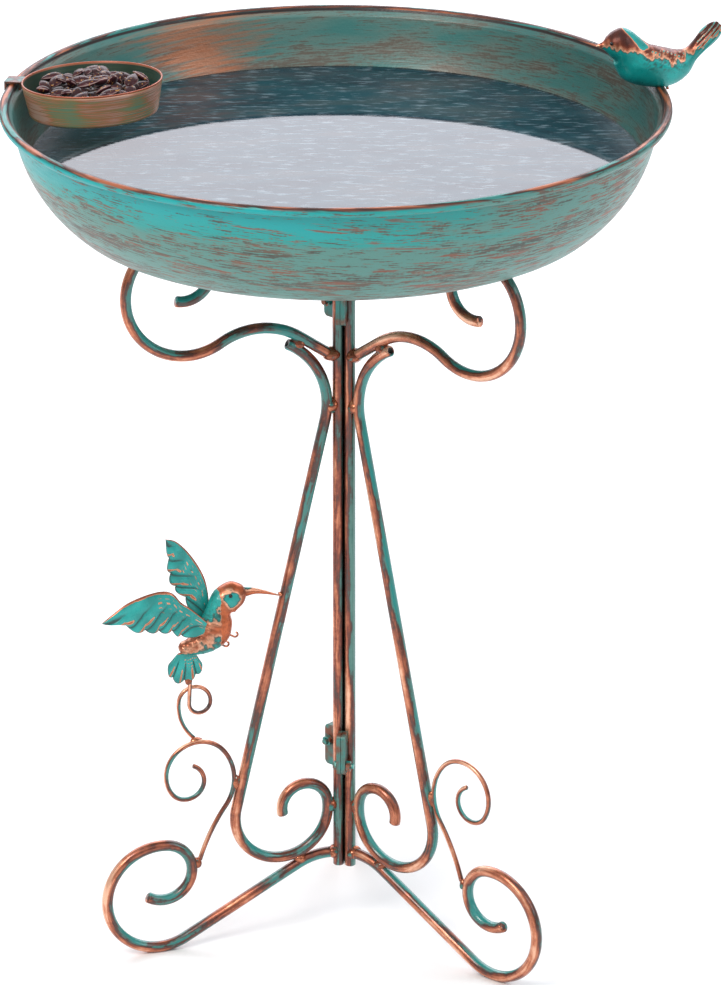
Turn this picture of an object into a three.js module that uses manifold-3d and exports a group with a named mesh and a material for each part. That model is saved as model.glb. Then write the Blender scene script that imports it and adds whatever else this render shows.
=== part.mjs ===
// Garden bird bath: a round sheet metal basin that rests on a bolted stand of three scroll legs,
// with a seed cup hooked over the rim, a songbird on the rim and a hummingbird on one leg.
// Millimetres, +Z up. The origin is on the ground, under the middle of the basin.
import * as THREE from "three";
import { mergeVertices } from "three/addons/utils/BufferGeometryUtils.js";
import Module from "manifold-3d";

const wasm = await Module();
wasm.setup();

// ---------------------------------------------------------------- driving dimensions
const gap = 0.3; // clearance between pieces that touch
const facetTurn = 22; // most degrees of bend that one straight facet stands for

// basin
const rimRadius = 203; // outside of the rolled rim
const beadRadius = 3; // the rolled rim's own section
const basinDepth = 70.6; // from the bead's centre down to the underside
const basinWall = 1.3;
const heelRadius = 21.5;
const sideRadius = 89;
const heelSlope = 38.3; // degrees from level where the heel bend meets the side bend
const wallLean = 12.3; // degrees that the straight upper wall leans out
const wallToBead = 4.24; // from the wall's outer face, just under the bead, to the bead's centre
const basinSegments = 48;

// stand
const seatHeight = 472.7; // underside of the basin above the ground
const rodDiameter = 7; // rods of the pole and the three heavy scrolls
const fillerDiameter = 3; // thin filler scroll
const footFlat = 0.4; // how far the underside of each foot is ground flat
const poleBottom = 39; // the pole's lower end above the ground
const poleTopGap = 8; // from the pole's upper end to the basin
const standShift = 5.2; // the basin sits this far off the pole, along the direction below
const standShiftAngle = 26;
const legs = [
  { label: "left", rodAngle: 225, planeAngle: 225 },
  { label: "right", rodAngle: 345, planeAngle: 345 },
  { label: "rear", rodAngle: 105, planeAngle: 116 },
];

// scrolls: bends as [radius, degrees], left turns positive, heading 0 outwards and 90 up
const armHeading = 35;
const armStraight = 23;
const armBends = [[46.5, -66], [39.5, 155.5], [27.5, 100.5], [18, 154]];
const strutOnArm = 21; // how far along the arm the strut touches it
const strutTail = 9.5; // degrees that the strut's upper bend runs on past the touching place
const lowerLoopRadius = 30.5;
const lowerLoopTurn = 202.5;
const lowerCurl = [15, -191];
const footHeading = 5;
const footBend = [41.5, -33];
const footStraight = 84.5;
const footBends = [[34.5, 217], [18.5, 209.5]];
const fillerSeat = 169; // degrees round the foot's curl where the filler scroll starts
const fillerHeading = 107;
const fillerFirstTurn = 18.5;
const fillerBends = [[31.5, -74.5], [21, -175.5], [11.5, -218]];

// tabs and bolts: the pole rods are bolted together in pairs at two heights
const tabHeight = 27;
const tabThickness = 2.6;
const tabReach = 14.2; // outer edge from the pole's axis
const tabCorner = 3;
const lowerTabMiddle = 122;
const upperTabBelowSeat = 52.2; // from the underside of the basin to the upper tabs' middle
const boltDiameter = 3.5;
const boltHeadDiameter = 6;
const boltHeadHeight = 2.4;
const nutAcross = 6;
const nutHeight = 2.6;
const boltRadius = 10.6; // the bolt's axis from the pole's axis
const junctions = [
  { label: "front", rods: [0, 1], boltOffset: { upper: 8, lower: -8 } },
  { label: "left", rods: [2, 0], boltOffset: { upper: -3, lower: 3 } },
];

// seed cup
const cupRadius = 43;
const cupBottomRadius = 39.5;
const cupHeight = 21;
const cupWall = 1.2;
const cupOverBead = 7.7; // cup's rim above the bead's centre
const cupAngle = 194.5; // where on the rim it hangs
const cupFromBead = 6; // cup's edge to the bead's centre line
const cupRoll = 3; // degrees: its inner side sits higher
const cupPitch = 2.2;
const hookWidth = 12;
const hookThickness = 1.2;
const hookInnerDrop = 3.8; // legs, down from the top of the bead
const hookOuterDrop = 4.5;

// birds
const songbirdAngle = 36.5;
const songbirdFootSpread = 4.5;
const songbirdFootClasp = [5, 130]; // degrees round the bead: where the claw starts and how far it goes
const songbirdFootDiameter = 1.8;
const hummingbirdSide = 3; // its middle plane beside the leg's plane
const wingSpread = 3.2; // from the body's middle plane to each wing's near face
const wingThickness = 1.6;
const beakRoot = -27.1; // places are from the top of the filler scroll: outwards, then up
const beakTipHeight = 92.8;
const beakClear = 0.85; // from the strut's face to the beak's tip
const hummingbirdFeet = [
  { label: "front", place: [-17.1, 71], shank: 3.8 },
  { label: "back", place: [-11.6, 65.2], shank: 3.4 },
];
const hummingbirdFootDiameter = 1.4;
const supportDiameter = 2.6;
const supportStart = [8.5, 43.2];
const supportHeading = -88.7;
const supportBends = [[15.5, 0], [7.1, -180], [10, -177], [33, -52]];

// ---------------------------------------------------------------- helpers
const rad = THREE.MathUtils.degToRad;
const heading = (degrees) => new THREE.Vector2(Math.cos(rad(degrees)), Math.sin(rad(degrees)));
const leftOf = (v) => new THREE.Vector2(-v.y, v.x);

const finishes = {
  patina: new THREE.MeshStandardMaterial({ color: 0x4f9c93, roughness: 0.5, metalness: 0.4 }),
  copper: new THREE.MeshStandardMaterial({ color: 0xb5653f, roughness: 0.4, metalness: 0.7 }),
  fastener: new THREE.MeshStandardMaterial({ color: 0x6d9a90, roughness: 0.5, metalness: 0.5 }),
};

function part(name, geometry, finish) {
  const mesh = new THREE.Mesh(geometry, finishes[finish]);
  mesh.name = name;
  return mesh;
}

// A wire bent in one plane: x outwards and z up, with an even drift along y where it has one.
class BentWire extends THREE.Curve {
  constructor(start, startHeading, steps, drift = [0, 0]) {
    super();
    this.nodes = [];
    this.drift = drift;
    let point = start.clone();
    let angle = startHeading;
    let travelled = 0;
    const add = () => this.nodes.push({ point: point.clone(), angle, travelled });
    add();
    for (const [radius, turn] of steps) {
      if (turn === 0) {
        point = point.clone().addScaledVector(heading(angle), radius);
        travelled += radius;
        add();
        continue;
      }
      const side = Math.sign(turn) * radius;
      const centre = point.clone().addScaledVector(leftOf(heading(angle)), side);
      const count = Math.ceil(Math.abs(turn) / facetTurn);
      for (let i = 0; i < count; i += 1) {
        angle += turn / count;
        point = centre.clone().addScaledVector(leftOf(heading(angle)), -side);
        travelled += radius * rad(Math.abs(turn) / count);
        add();
      }
    }
    this.length = travelled;
  }

  get steps() {
    return this.nodes.length - 1;
  }

  node(u) {
    return this.nodes[Math.round(u * this.steps)];
  }

  getPointAt(u) {
    const { point, travelled } = this.node(u);
    const [from, to] = this.drift;
    return new THREE.Vector3(point.x, from + (to - from) * travelled / this.length, point.y);
  }

  getPoint(u) {
    return this.getPointAt(u);
  }

  getTangentAt(u) {
    const along = heading(this.node(u).angle);
    const slope = (this.drift[1] - this.drift[0]) / this.length;
    return new THREE.Vector3(along.x, slope, along.y).normalize();
  }

  get highest() {
    return Math.max(...this.nodes.map(({ point }) => point.y));
  }

  get lowest() {
    return Math.min(...this.nodes.map(({ point }) => point.y));
  }
}

function polygon(radius, sides) {
  const points = [];
  for (let i = 0; i < sides; i += 1) {
    const angle = (i + 0.5) * 2 * Math.PI / sides;
    points.push(new THREE.Vector2(radius * Math.cos(angle), radius * Math.sin(angle)));
  }
  return new THREE.Shape(points);
}

function wireGeometry(wire, diameter, sides = 8) {
  return new THREE.ExtrudeGeometry(polygon(diameter / 2, sides), {
    steps: wire.steps,
    extrudePath: wire,
    curveSegments: 1,
  });
}

// A closed skin over a row of elliptical rings: [x, z, heading, half height, half width].
function lofted(rings, sides, y = 0) {
  const positions = [];
  const corners = rings.map(([x, z, slope, tall, wide]) => {
    const up = leftOf(heading(slope));
    return Array.from({ length: sides }, (_, i) => {
      const a = i * 2 * Math.PI / sides;
      return [x + up.x * tall * Math.cos(a), y + wide * Math.sin(a), z + up.y * tall * Math.cos(a)];
    });
  });
  const triangle = (...points) => points.forEach((p) => positions.push(...p));
  const cap = (ring, [x, z], flip) => {
    for (let i = 0; i < sides; i += 1) {
      const pair = [ring[i], ring[(i + 1) % sides]];
      if (flip) pair.reverse();
      triangle([x, y, z], ...pair);
    }
  };
  for (let k = 0; k + 1 < corners.length; k += 1) {
    for (let i = 0; i < sides; i += 1) {
      const j = (i + 1) % sides;
      triangle(corners[k][i], corners[k + 1][i], corners[k + 1][j]);
      triangle(corners[k][i], corners[k + 1][j], corners[k][j]);
    }
  }
  cap(corners[0], rings[0], false);
  cap(corners[corners.length - 1], rings[rings.length - 1], true);
  return new THREE.BufferGeometry().setAttribute(
    "position",
    new THREE.Float32BufferAttribute(positions, 3),
  );
}

function solid(geometry, matrix = new THREE.Matrix4()) {
  const bare = new THREE.BufferGeometry().setAttribute(
    "position",
    (geometry.index ? geometry.toNonIndexed() : geometry.clone()).getAttribute("position"),
  );
  const merged = mergeVertices(bare.applyMatrix4(matrix), 1e-4);
  return new wasm.Manifold(
    new wasm.Mesh({
      numProp: 3,
      vertProperties: new Float32Array(merged.getAttribute("position").array),
      triVerts: new Uint32Array(merged.index.array),
    }),
  );
}

function geometryOf(manifold) {
  const { vertProperties, triVerts } = manifold.getMesh();
  return new THREE.BufferGeometry()
    .setAttribute("position", new THREE.Float32BufferAttribute(vertProperties, 3))
    .setIndex(new THREE.Uint32BufferAttribute(triVerts, 1));
}

function lathe(points, segments) {
  return new THREE.LatheGeometry(points.map(([r, z]) => new THREE.Vector2(r, z)), segments)
    .rotateX(Math.PI / 2);
}

// A flat plate drawn in the x-z plane, its middle at the given y.
function plate(shape, thickness, y = 0) {
  return new THREE.ExtrudeGeometry(shape, { depth: thickness, bevelEnabled: false, curveSegments: 6 })
    .rotateX(Math.PI / 2)
    .translate(0, y + thickness / 2, 0);
}

function arcPoints([cx, cz], radius, from, to, count) {
  return Array.from({ length: count + 1 }, (_, i) => {
    const direction = heading(from + (to - from) * i / count);
    return [cx + radius * direction.x, cz + radius * direction.y];
  });
}

// ---------------------------------------------------------------- basin
const beadCentre = [rimRadius - beadRadius, basinDepth];

// One face of the dish from the edge of its flat floor, at the given radius, up to under the bead.
function dishFace(inset, floorRadius) {
  const slope = heelSlope - 90;
  const heelCentre = [floorRadius, heelRadius];
  const toSide = heading(slope).multiplyScalar(heelRadius - sideRadius);
  const sideCentre = [heelCentre[0] + toSide.x, heelCentre[1] + toSide.y];
  const heel = arcPoints(heelCentre, heelRadius - inset, -90, slope, 3);
  const side = arcPoints(sideCentre, sideRadius - inset, slope, -wallLean, 4).slice(1);
  const [topRadius, topHeight] = side[side.length - 1];
  const underBead = basinDepth - beadRadius - topHeight;
  const wallTop = [topRadius + underBead * Math.tan(rad(wallLean)), topHeight + underBead];
  return [...heel, ...side, wallTop];
}

// The floor is as wide as lets the wall end under the bead.
const [wallReach] = dishFace(0, 0).at(-1);
const floorRadius = beadCentre[0] - wallToBead - wallReach;

function basinGeometry() {
  const bead = arcPoints(beadCentre, beadRadius, -140, 160, 7);
  const profile = [
    [0, 0],
    ...dishFace(0, floorRadius),
    ...bead,
    ...dishFace(basinWall, floorRadius).reverse(),
    [0, basinWall],
  ];
  return lathe(profile, basinSegments);
}

// ---------------------------------------------------------------- seed cup
const cupCentre = rimRadius - beadRadius - cupFromBead - cupRadius;

function cupGeometry() {
  return lathe([
    [0, -cupHeight],
    [cupBottomRadius, -cupHeight],
    [cupRadius, 0],
    [cupRadius - cupWall, 0],
    [cupBottomRadius - cupWall, cupWall - cupHeight],
    [0, cupWall - cupHeight],
  ], 32);
}

// The cup's place: out along the rim from the basin's axis, tilted a little.
function cupMatrix() {
  const tilt = new THREE.Matrix4()
    .makeRotationY(rad(cupRoll))
    .multiply(new THREE.Matrix4().makeRotationX(rad(cupPitch)));
  return new THREE.Matrix4()
    .makeRotationZ(rad(cupAngle))
    .multiply(new THREE.Matrix4().makeTranslation(cupCentre, 0, basinDepth + cupOverBead))
    .multiply(tilt);
}

// A strap against the cup's wall, bent out over the bead and down outside it.
function hookGeometry() {
  const clear = beadRadius + gap;
  const inside = beadCentre[0] - cupFromBead + gap;
  const outside = beadCentre[0] + clear + hookThickness;
  const under = basinDepth + clear;
  const shape = new THREE.Shape()
    .moveTo(inside, under - hookInnerDrop)
    .lineTo(inside + hookThickness, under - hookInnerDrop)
    .lineTo(inside + hookThickness, under)
    .lineTo(outside - hookThickness, under)
    .lineTo(outside - hookThickness, under - hookOuterDrop)
    .lineTo(outside, under - hookOuterDrop)
    .lineTo(outside, under + hookThickness)
    .lineTo(inside, under + hookThickness)
    .closePath();
  const strap = solid(plate(shape, hookWidth), new THREE.Matrix4().makeRotationZ(rad(cupAngle)));
  const keepOut = new THREE.CylinderGeometry(cupRadius + gap, cupBottomRadius + gap, cupHeight, 32)
    .rotateX(Math.PI / 2)
    .translate(0, 0, -cupHeight / 2);
  return geometryOf(strap.subtract(solid(keepOut, cupMatrix())));
}

// ---------------------------------------------------------------- songbird on the rim
function songbirdGeometry() {
  return lofted([
    [-40, 25.4, 0, 0.5, 0.5],
    [-35.5, 25.6, 0, 2.1, 1.9],
    [-33.2, 26, 0, 4.8, 4.4],
    [-30, 26.2, -5, 8, 7.2],
    [-25, 25.2, -15, 10.7, 9.2],
    [-19.5, 21, -42, 12.3, 10],
    [-13, 16.2, -36, 13.4, 11.2],
    [-5, 12.4, -15, 11.3, 12],
    [5, 11.6, 2, 10, 11],
    [13, 13.6, 25, 7.4, 8],
    [19, 17.4, 40, 4.4, 5.6],
    [24, 22, 46, 4.6, 4.6],
    [31, 29.5, 46, 6, 4],
    [36.6, 34.8, 46, 4.2, 2.4],
  ], 12);
}

function songbirdFootGeometry() {
  const clasp = beadRadius + gap + songbirdFootDiameter / 2;
  const [start, turn] = songbirdFootClasp;
  const wire = new BentWire(heading(start).multiplyScalar(clasp), start + 90, [[clasp, turn]]);
  return wireGeometry(wire, songbirdFootDiameter, 6);
}

function songbird() {
  const group = new THREE.Group();
  group.add(part("songbird_body", songbirdGeometry().translate(0, 0, beadRadius + gap), "patina"));
  [["left", -1], ["right", 1]].forEach(([label, side]) => {
    const foot = part(`songbird_${label}_foot`, songbirdFootGeometry(), "copper");
    foot.position.y = side * songbirdFootSpread;
    group.add(foot);
  });
  group.rotation.z = rad(songbirdAngle);
  const [out, up] = beadCentre;
  group.position.set(out * Math.cos(rad(songbirdAngle)), out * Math.sin(rad(songbirdAngle)), up);
  return group;
}

function basinGroup() {
  const group = new THREE.Group();
  const cup = part("seed_cup", cupGeometry(), "copper");
  cup.applyMatrix4(cupMatrix());
  group.add(
    part("basin", basinGeometry(), "patina"),
    cup,
    part("seed_cup_hook", hookGeometry(), "copper"),
    songbird(),
  );
  group.position.z = seatHeight;
  return group;
}

// ---------------------------------------------------------------- scrolls of one leg
// In a leg's plane x is outwards from the pole's axis, z is up from the ground.
const rodRadius = rodDiameter / 2;
const rodCentre = (rodDiameter + gap) / Math.sqrt(3); // three rods side by side
const rodFace = rodCentre + rodRadius;
const touch = rodFace + gap + rodRadius; // centre line of a scroll that touches the rod
const apart = rodDiameter + gap; // centre lines of two touching rods

function armWire() {
  const bends = [[armStraight, 0], ...armBends];
  const out = rodFace + gap + rodRadius * Math.sin(rad(armHeading));
  const trial = new BentWire(new THREE.Vector2(out, 0), armHeading, bends);
  const rise = seatHeight - gap - rodRadius - trial.highest;
  return new BentWire(new THREE.Vector2(out, rise), armHeading, bends);
}

function footWire() {
  const bends = [footBend, [footStraight, 0], ...footBends];
  const out = rodFace + gap + rodRadius * Math.sin(rad(footHeading));
  const trial = new BentWire(new THREE.Vector2(out, 0), footHeading, bends);
  const rise = rodRadius - footFlat - trial.lowest;
  return new BentWire(new THREE.Vector2(out, rise), footHeading, bends);
}

// The lower loop touches the rod and rests on the foot scroll.
function lowerLoopCentre(foot) {
  const x = touch + lowerLoopRadius;
  const reach = lowerLoopRadius + apart;
  const inner = foot.nodes.slice(0, Math.ceil(Math.abs(footBend[1]) / facetTurn) + 2);
  const samples = inner.slice(1).flatMap(({ point }, i) =>
    [0, 0.25, 0.5, 0.75, 1].map((u) => inner[i].point.clone().lerp(point, u)));
  const heights = samples
    .filter((p) => Math.abs(p.x - x) < reach)
    .map((p) => p.y + Math.sqrt(reach * reach - (p.x - x) ** 2));
  return new THREE.Vector2(x, Math.max(...heights));
}

// The strut hangs under the arm, bends round to graze the rod, runs straight to the lower loop
// as the inner tangent of both bends, and curls up against the rod again.
function strutShape(arm, foot) {
  const along = heading(armHeading);
  const onArm = arm.nodes[0].point.clone()
    .addScaledVector(along, strutOnArm)
    .addScaledVector(leftOf(along), -apart);
  const upperRadius = (onArm.x - touch) / (1 - Math.sin(rad(armHeading)));
  const upperCentre = onArm.clone().addScaledVector(leftOf(along), -upperRadius);
  const loopCentre = lowerLoopCentre(foot);
  const between = loopCentre.clone().sub(upperCentre);
  const radii = upperRadius + lowerLoopRadius;
  const lean = THREE.MathUtils.radToDeg(
    Math.asin(radii / between.length()) - Math.atan2(-between.x, -between.y),
  );
  const straight = Math.sqrt(between.lengthSq() - radii * radii);
  return { upperRadius, upperCentre, loopCentre, lean, straight };
}

function strutWire({ upperRadius, upperCentre, lean, straight }) {
  const startHeading = armHeading - 180 - strutTail;
  const start = upperCentre.clone().addScaledVector(leftOf(heading(startHeading)), -upperRadius);
  return new BentWire(start, startHeading, [
    [upperRadius, lean - 90 - startHeading],
    [straight, 0],
    [lowerLoopRadius, -lowerLoopTurn],
    lowerCurl,
  ]);
}

// The filler scroll starts on the foot's curl and opens just enough to graze the strut.
function fillerWire(foot, strut) {
  const clear = rodRadius + gap + fillerDiameter / 2;
  const [curlRadius] = footBends[1];
  const end = foot.nodes[foot.steps];
  const curlCentre = end.point.clone().addScaledVector(leftOf(heading(end.angle)), curlRadius);
  const start = curlCentre.addScaledVector(heading(fillerSeat), curlRadius + clear);
  const secondHeading = fillerHeading + fillerFirstTurn;
  const [secondRadius] = fillerBends[0];
  const opening = leftOf(heading(fillerHeading)).sub(leftOf(heading(secondHeading)));
  const outwards = heading(strut.lean);
  const onStrut = strut.loopCentre.clone().addScaledVector(outwards, lowerLoopRadius);
  const wanted = secondRadius + clear;
  const centreWithout = start.clone().addScaledVector(leftOf(heading(secondHeading)), -secondRadius);
  const firstRadius = (wanted - outwards.dot(centreWithout.sub(onStrut))) / outwards.dot(opening);
  const bends = [[firstRadius, fillerFirstTurn], ...fillerBends];
  return new BentWire(start, fillerHeading, bends);
}

// How far out the strut's outer face is, at a height on its straight stretch.
function strutFaceAt(height) {
  const { loopCentre, lean } = strutPlan;
  const face = loopCentre.clone().addScaledVector(heading(lean), lowerLoopRadius + rodRadius);
  return face.x - (height - face.y) * Math.tan(rad(lean));
}

function flatFoot(foot) {
  const below = new THREE.BoxGeometry(4 * rimRadius, 4 * rodDiameter, 2 * rodDiameter)
    .translate(0, 0, -rodDiameter);
  return geometryOf(solid(wireGeometry(foot, rodDiameter)).subtract(solid(below)));
}

const arm = armWire();
const foot = footWire();
const strutPlan = strutShape(arm, foot);
const strut = strutWire(strutPlan);
const filler = fillerWire(foot, strutPlan);

function rodGeometry() {
  const height = seatHeight - poleTopGap - poleBottom;
  return new THREE.CylinderGeometry(rodRadius, rodRadius, height, 12)
    .rotateX(Math.PI / 2)
    .translate(0, 0, poleBottom + height / 2);
}

// A leg's scrolls lie in a vertical plane through its rod, which may be turned about the rod.
function legGroup({ label, rodAngle, planeAngle }) {
  const leg = new THREE.Group();
  const scrolls = new THREE.Group();
  scrolls.add(
    part(`${label}_arm_scroll`, wireGeometry(arm, rodDiameter), "patina"),
    part(`${label}_strut_scroll`, wireGeometry(strut, rodDiameter), "patina"),
    part(`${label}_foot_scroll`, flatFoot(foot), "patina"),
    part(`${label}_filler_scroll`, wireGeometry(filler, fillerDiameter, 6), "copper"),
  );
  scrolls.position.x = -rodCentre;
  leg.add(part(`${label}_pole_rod`, rodGeometry(), "patina"), scrolls);
  const place = heading(rodAngle).multiplyScalar(rodCentre);
  leg.position.set(place.x, place.y, 0);
  leg.rotation.z = rad(planeAngle);
  return leg;
}

// ---------------------------------------------------------------- tabs and bolts
// A junction's plane runs out from the pole between two rods: x outwards, y across.
function tabShape(boltHeight) {
  const across = gap / 2 + tabThickness;
  const rodAlong = rodCentre / 2;
  const rodAcross = rodCentre * Math.sqrt(3) / 2;
  const inner = rodAlong + Math.sqrt(rodRadius ** 2 - (rodAcross - Math.min(across, rodAcross)) ** 2) + gap;
  const half = tabHeight / 2;
  const round = tabCorner;
  const shape = new THREE.Shape()
    .moveTo(inner, -half)
    .lineTo(tabReach - round, -half)
    .absarc(tabReach - round, round - half, round, -Math.PI / 2, 0, false)
    .absarc(tabReach - round, half - round, round, 0, Math.PI / 2, false)
    .lineTo(inner, half)
    .closePath();
  const hole = new THREE.Path().absarc(boltRadius, boltHeight, boltDiameter / 2 + gap, 0, 2 * Math.PI, true);
  shape.holes.push(hole);
  return shape;
}

function boltGeometry(grip) {
  const shank = boltDiameter / 2;
  const head = boltHeadDiameter / 2;
  const under = grip / 2 + gap;
  const tip = under + gap + nutHeight + shank;
  return lathe([
    [0, -under - boltHeadHeight],
    [head * 0.7, -under - boltHeadHeight],
    [head, -under - boltHeadHeight * 0.5],
    [head, -under],
    [shank, -under],
    [shank, tip],
    [0, tip],
  ], 10);
}

function nutGeometry(grip) {
  const seat = grip / 2 + gap;
  const shape = polygon(nutAcross / Math.sqrt(3), 6);
  shape.holes.push(new THREE.Path().absarc(0, 0, boltDiameter / 2 + gap, 0, 2 * Math.PI, true));
  return new THREE.ExtrudeGeometry(shape, { depth: nutHeight, bevelEnabled: false, curveSegments: 5 })
    .translate(0, 0, seat);
}

function junctionGroup({ label, rods, boltOffset }, level, height) {
  const group = new THREE.Group();
  const grip = 2 * tabThickness + gap;
  const boltHeight = boltOffset[level];
  rods.forEach((rod, i) => {
    const y = (i === 0 ? -1 : 1) * (gap + tabThickness) / 2;
    const name = `${level}_${label}_tab_of_${legs[rod].label}_leg`;
    group.add(part(name, plate(tabShape(boltHeight), tabThickness, y), "patina"));
  });
  const fastening = new THREE.Group();
  fastening.add(
    part(`${level}_${label}_bolt`, boltGeometry(grip), "copper"),
    part(`${level}_${label}_nut`, nutGeometry(grip), "fastener"),
  );
  fastening.rotation.x = -Math.PI / 2;
  fastening.position.set(boltRadius, 0, boltHeight);
  group.add(fastening);
  group.position.z = height;
  group.rotation.z = rad(middleAngle(rods));
  return group;
}

// The direction between two rods, on the side away from the third.
function middleAngle(rods) {
  const sum = rods
    .map((rod) => heading(legs[rod].rodAngle))
    .reduce((a, b) => a.add(b), new THREE.Vector2());
  return THREE.MathUtils.radToDeg(sum.angle());
}

// ---------------------------------------------------------------- hummingbird on the left leg
// Drawn in the leg's plane from the top of the filler scroll that carries it: x outwards, z up.
function nearWingShape() {
  return new THREE.Shape()
    .moveTo(0.2, 82.8)
    .lineTo(14.9, 98.3)
    .quadraticCurveTo(18.9, 107.9, 26.9, 107.6)
    .quadraticCurveTo(48.9, 107.1, 66.4, 91.1)
    .lineTo(63.9, 89.1)
    .lineTo(54.9, 91.1)
    .quadraticCurveTo(51.9, 83.6, 43.4, 83.6)
    .quadraticCurveTo(38.9, 80.1, 34.4, 82.1)
    .quadraticCurveTo(30.4, 78.6, 26.9, 81.1)
    .quadraticCurveTo(21.9, 78.1, 17.4, 79.6)
    .quadraticCurveTo(15.8, 74.4, 11.1, 74.6)
    .lineTo(1.9, 79.5)
    .closePath();
}

function farWingShape() {
  return new THREE.Shape()
    .moveTo(-3.8, 91.3)
    .quadraticCurveTo(-4.1, 122.2, 22.2, 137.7)
    .quadraticCurveTo(17.7, 131.2, 20.2, 124.7)
    .quadraticCurveTo(24.7, 120.2, 19.2, 115.7)
    .quadraticCurveTo(22.7, 110.2, 18.2, 105.2)
    .quadraticCurveTo(14.7, 97.7, 11.7, 94.4)
    .lineTo(1.1, 84.1)
    .closePath();
}

function tailShape() {
  return new THREE.Shape()
    .moveTo(5.9, 59.1)
    .quadraticCurveTo(-1.1, 56.3, -0.1, 50.5)
    .quadraticCurveTo(2.3, 45.9, 6.3, 46.3)
    .quadraticCurveTo(10.3, 41.7, 15.3, 44.2)
    .quadraticCurveTo(22.8, 46.2, 22.8, 53.2)
    .quadraticCurveTo(21.8, 59.1, 14.5, 60.5)
    .closePath();
}

function hummingbirdBody() {
  return lofted([
    [-26.7, 98.3, 0, 2.4, 2.2],
    [-23.7, 98.1, 0, 6, 5.4],
    [-18.7, 97.5, -8, 8.4, 7.4],
    [-13.2, 94.1, -45, 8.6, 7.4],
    [-10.9, 88.6, -70, 7.6, 7],
    [-9.5, 81.6, -75, 9.6, 8.4],
    [-6.5, 73.9, -62, 10.3, 8.8],
    [-0.7, 68.7, -40, 8, 7.2],
    [6.3, 66.5, -15, 5.6, 5.4],
    [13.3, 66.3, 0, 3.4, 3.6],
  ], 10, hummingbirdSide);
}

// The beak runs from the head to just short of the strut, wherever the strut passes.
function hummingbirdBeak(seat) {
  const tip = strutFaceAt(seat.y + beakTipHeight) + beakClear - seat.x;
  const out = (share) => tip + (beakRoot - tip) * share;
  return lofted([
    [beakRoot, 98.7, 175, 2.1, 2.1],
    [out(0.7), 98, 168, 1.6, 1.6],
    [out(0.39), 96.1, 162, 1.1, 1.1],
    [tip, beakTipHeight, 172, 0.5, 0.5],
  ], 6, hummingbirdSide);
}

function hummingbirdFoot({ place, shank }) {
  const wire = new BentWire(new THREE.Vector2(...place), -150, [[shank, 0], [1.5, -200]]);
  return wireGeometry(wire, hummingbirdFootDiameter, 5);
}

function supportWire() {
  const wire = new BentWire(
    new THREE.Vector2(...supportStart),
    supportHeading,
    supportBends,
    [hummingbirdSide, -hummingbirdSide],
  );
  return wireGeometry(wire, supportDiameter, 6);
}

function hummingbirdGroup({ rodAngle, planeAngle }) {
  const group = new THREE.Group();
  const seat = filler.nodes.map(({ point }) => point).reduce((a, b) => (a.y > b.y ? a : b));
  const nearSide = hummingbirdSide + wingSpread + wingThickness;
  const farSide = hummingbirdSide - wingSpread - wingThickness;
  group.add(
    part("hummingbird_body", hummingbirdBody(), "copper"),
    part("hummingbird_beak", hummingbirdBeak(seat), "copper"),
    part("hummingbird_near_wing", plate(nearWingShape(), wingThickness, nearSide), "patina"),
    part("hummingbird_far_wing", plate(farWingShape(), wingThickness, farSide), "patina"),
    part("hummingbird_tail", plate(tailShape(), wingThickness, hummingbirdSide), "patina"),
    part("hummingbird_support_wire", supportWire(), "copper"),
  );
  hummingbirdFeet.forEach((plan) => {
    const geometry = hummingbirdFoot(plan).translate(0, hummingbirdSide, 0);
    group.add(part(`hummingbird_${plan.label}_foot`, geometry, "copper"));
  });
  group.position.set(seat.x - rodCentre, 0, seat.y);
  const leg = new THREE.Group();
  leg.add(group);
  const place = heading(rodAngle).multiplyScalar(rodCentre);
  leg.position.set(place.x, place.y, 0);
  leg.rotation.z = rad(planeAngle);
  return leg;
}

// ---------------------------------------------------------------- the whole bird bath
function standGroup() {
  const stand = new THREE.Group();
  legs.forEach((leg) => stand.add(legGroup(leg)));
  const levels = { upper: seatHeight - upperTabBelowSeat, lower: lowerTabMiddle };
  Object.entries(levels).forEach(([level, height]) => {
    junctions.forEach((junction) => stand.add(junctionGroup(junction, level, height)));
  });
  stand.add(hummingbirdGroup(legs[0]));
  const shift = heading(standShiftAngle).multiplyScalar(standShift);
  stand.position.set(shift.x, shift.y, 0);
  return stand;
}

const birdBath = new THREE.Group();
birdBath.add(standGroup(), basinGroup());

export default birdBath;
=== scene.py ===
"""Garden bird bath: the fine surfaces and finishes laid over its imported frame.

A round sheet steel basin rests on a bolted stand of three legs, each bent from 7 mm rod into scrolls.
Everything is painted verdigris and dry-brushed with copper. Sizes are millimetres until a mesh is made.
"""
import math

import bpy
import numpy as np
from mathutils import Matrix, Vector


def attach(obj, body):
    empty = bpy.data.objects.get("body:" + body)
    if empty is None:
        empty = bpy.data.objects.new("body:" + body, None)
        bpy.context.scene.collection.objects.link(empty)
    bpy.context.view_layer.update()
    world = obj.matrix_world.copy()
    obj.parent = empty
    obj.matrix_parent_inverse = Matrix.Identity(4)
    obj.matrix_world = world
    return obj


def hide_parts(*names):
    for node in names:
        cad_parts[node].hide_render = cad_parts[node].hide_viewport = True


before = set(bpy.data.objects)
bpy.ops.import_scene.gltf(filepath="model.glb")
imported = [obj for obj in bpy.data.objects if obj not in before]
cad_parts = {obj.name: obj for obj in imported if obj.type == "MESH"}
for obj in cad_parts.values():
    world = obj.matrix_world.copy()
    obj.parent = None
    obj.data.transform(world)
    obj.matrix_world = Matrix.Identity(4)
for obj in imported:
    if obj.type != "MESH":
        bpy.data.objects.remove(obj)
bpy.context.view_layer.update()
MM = 0.001

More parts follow.
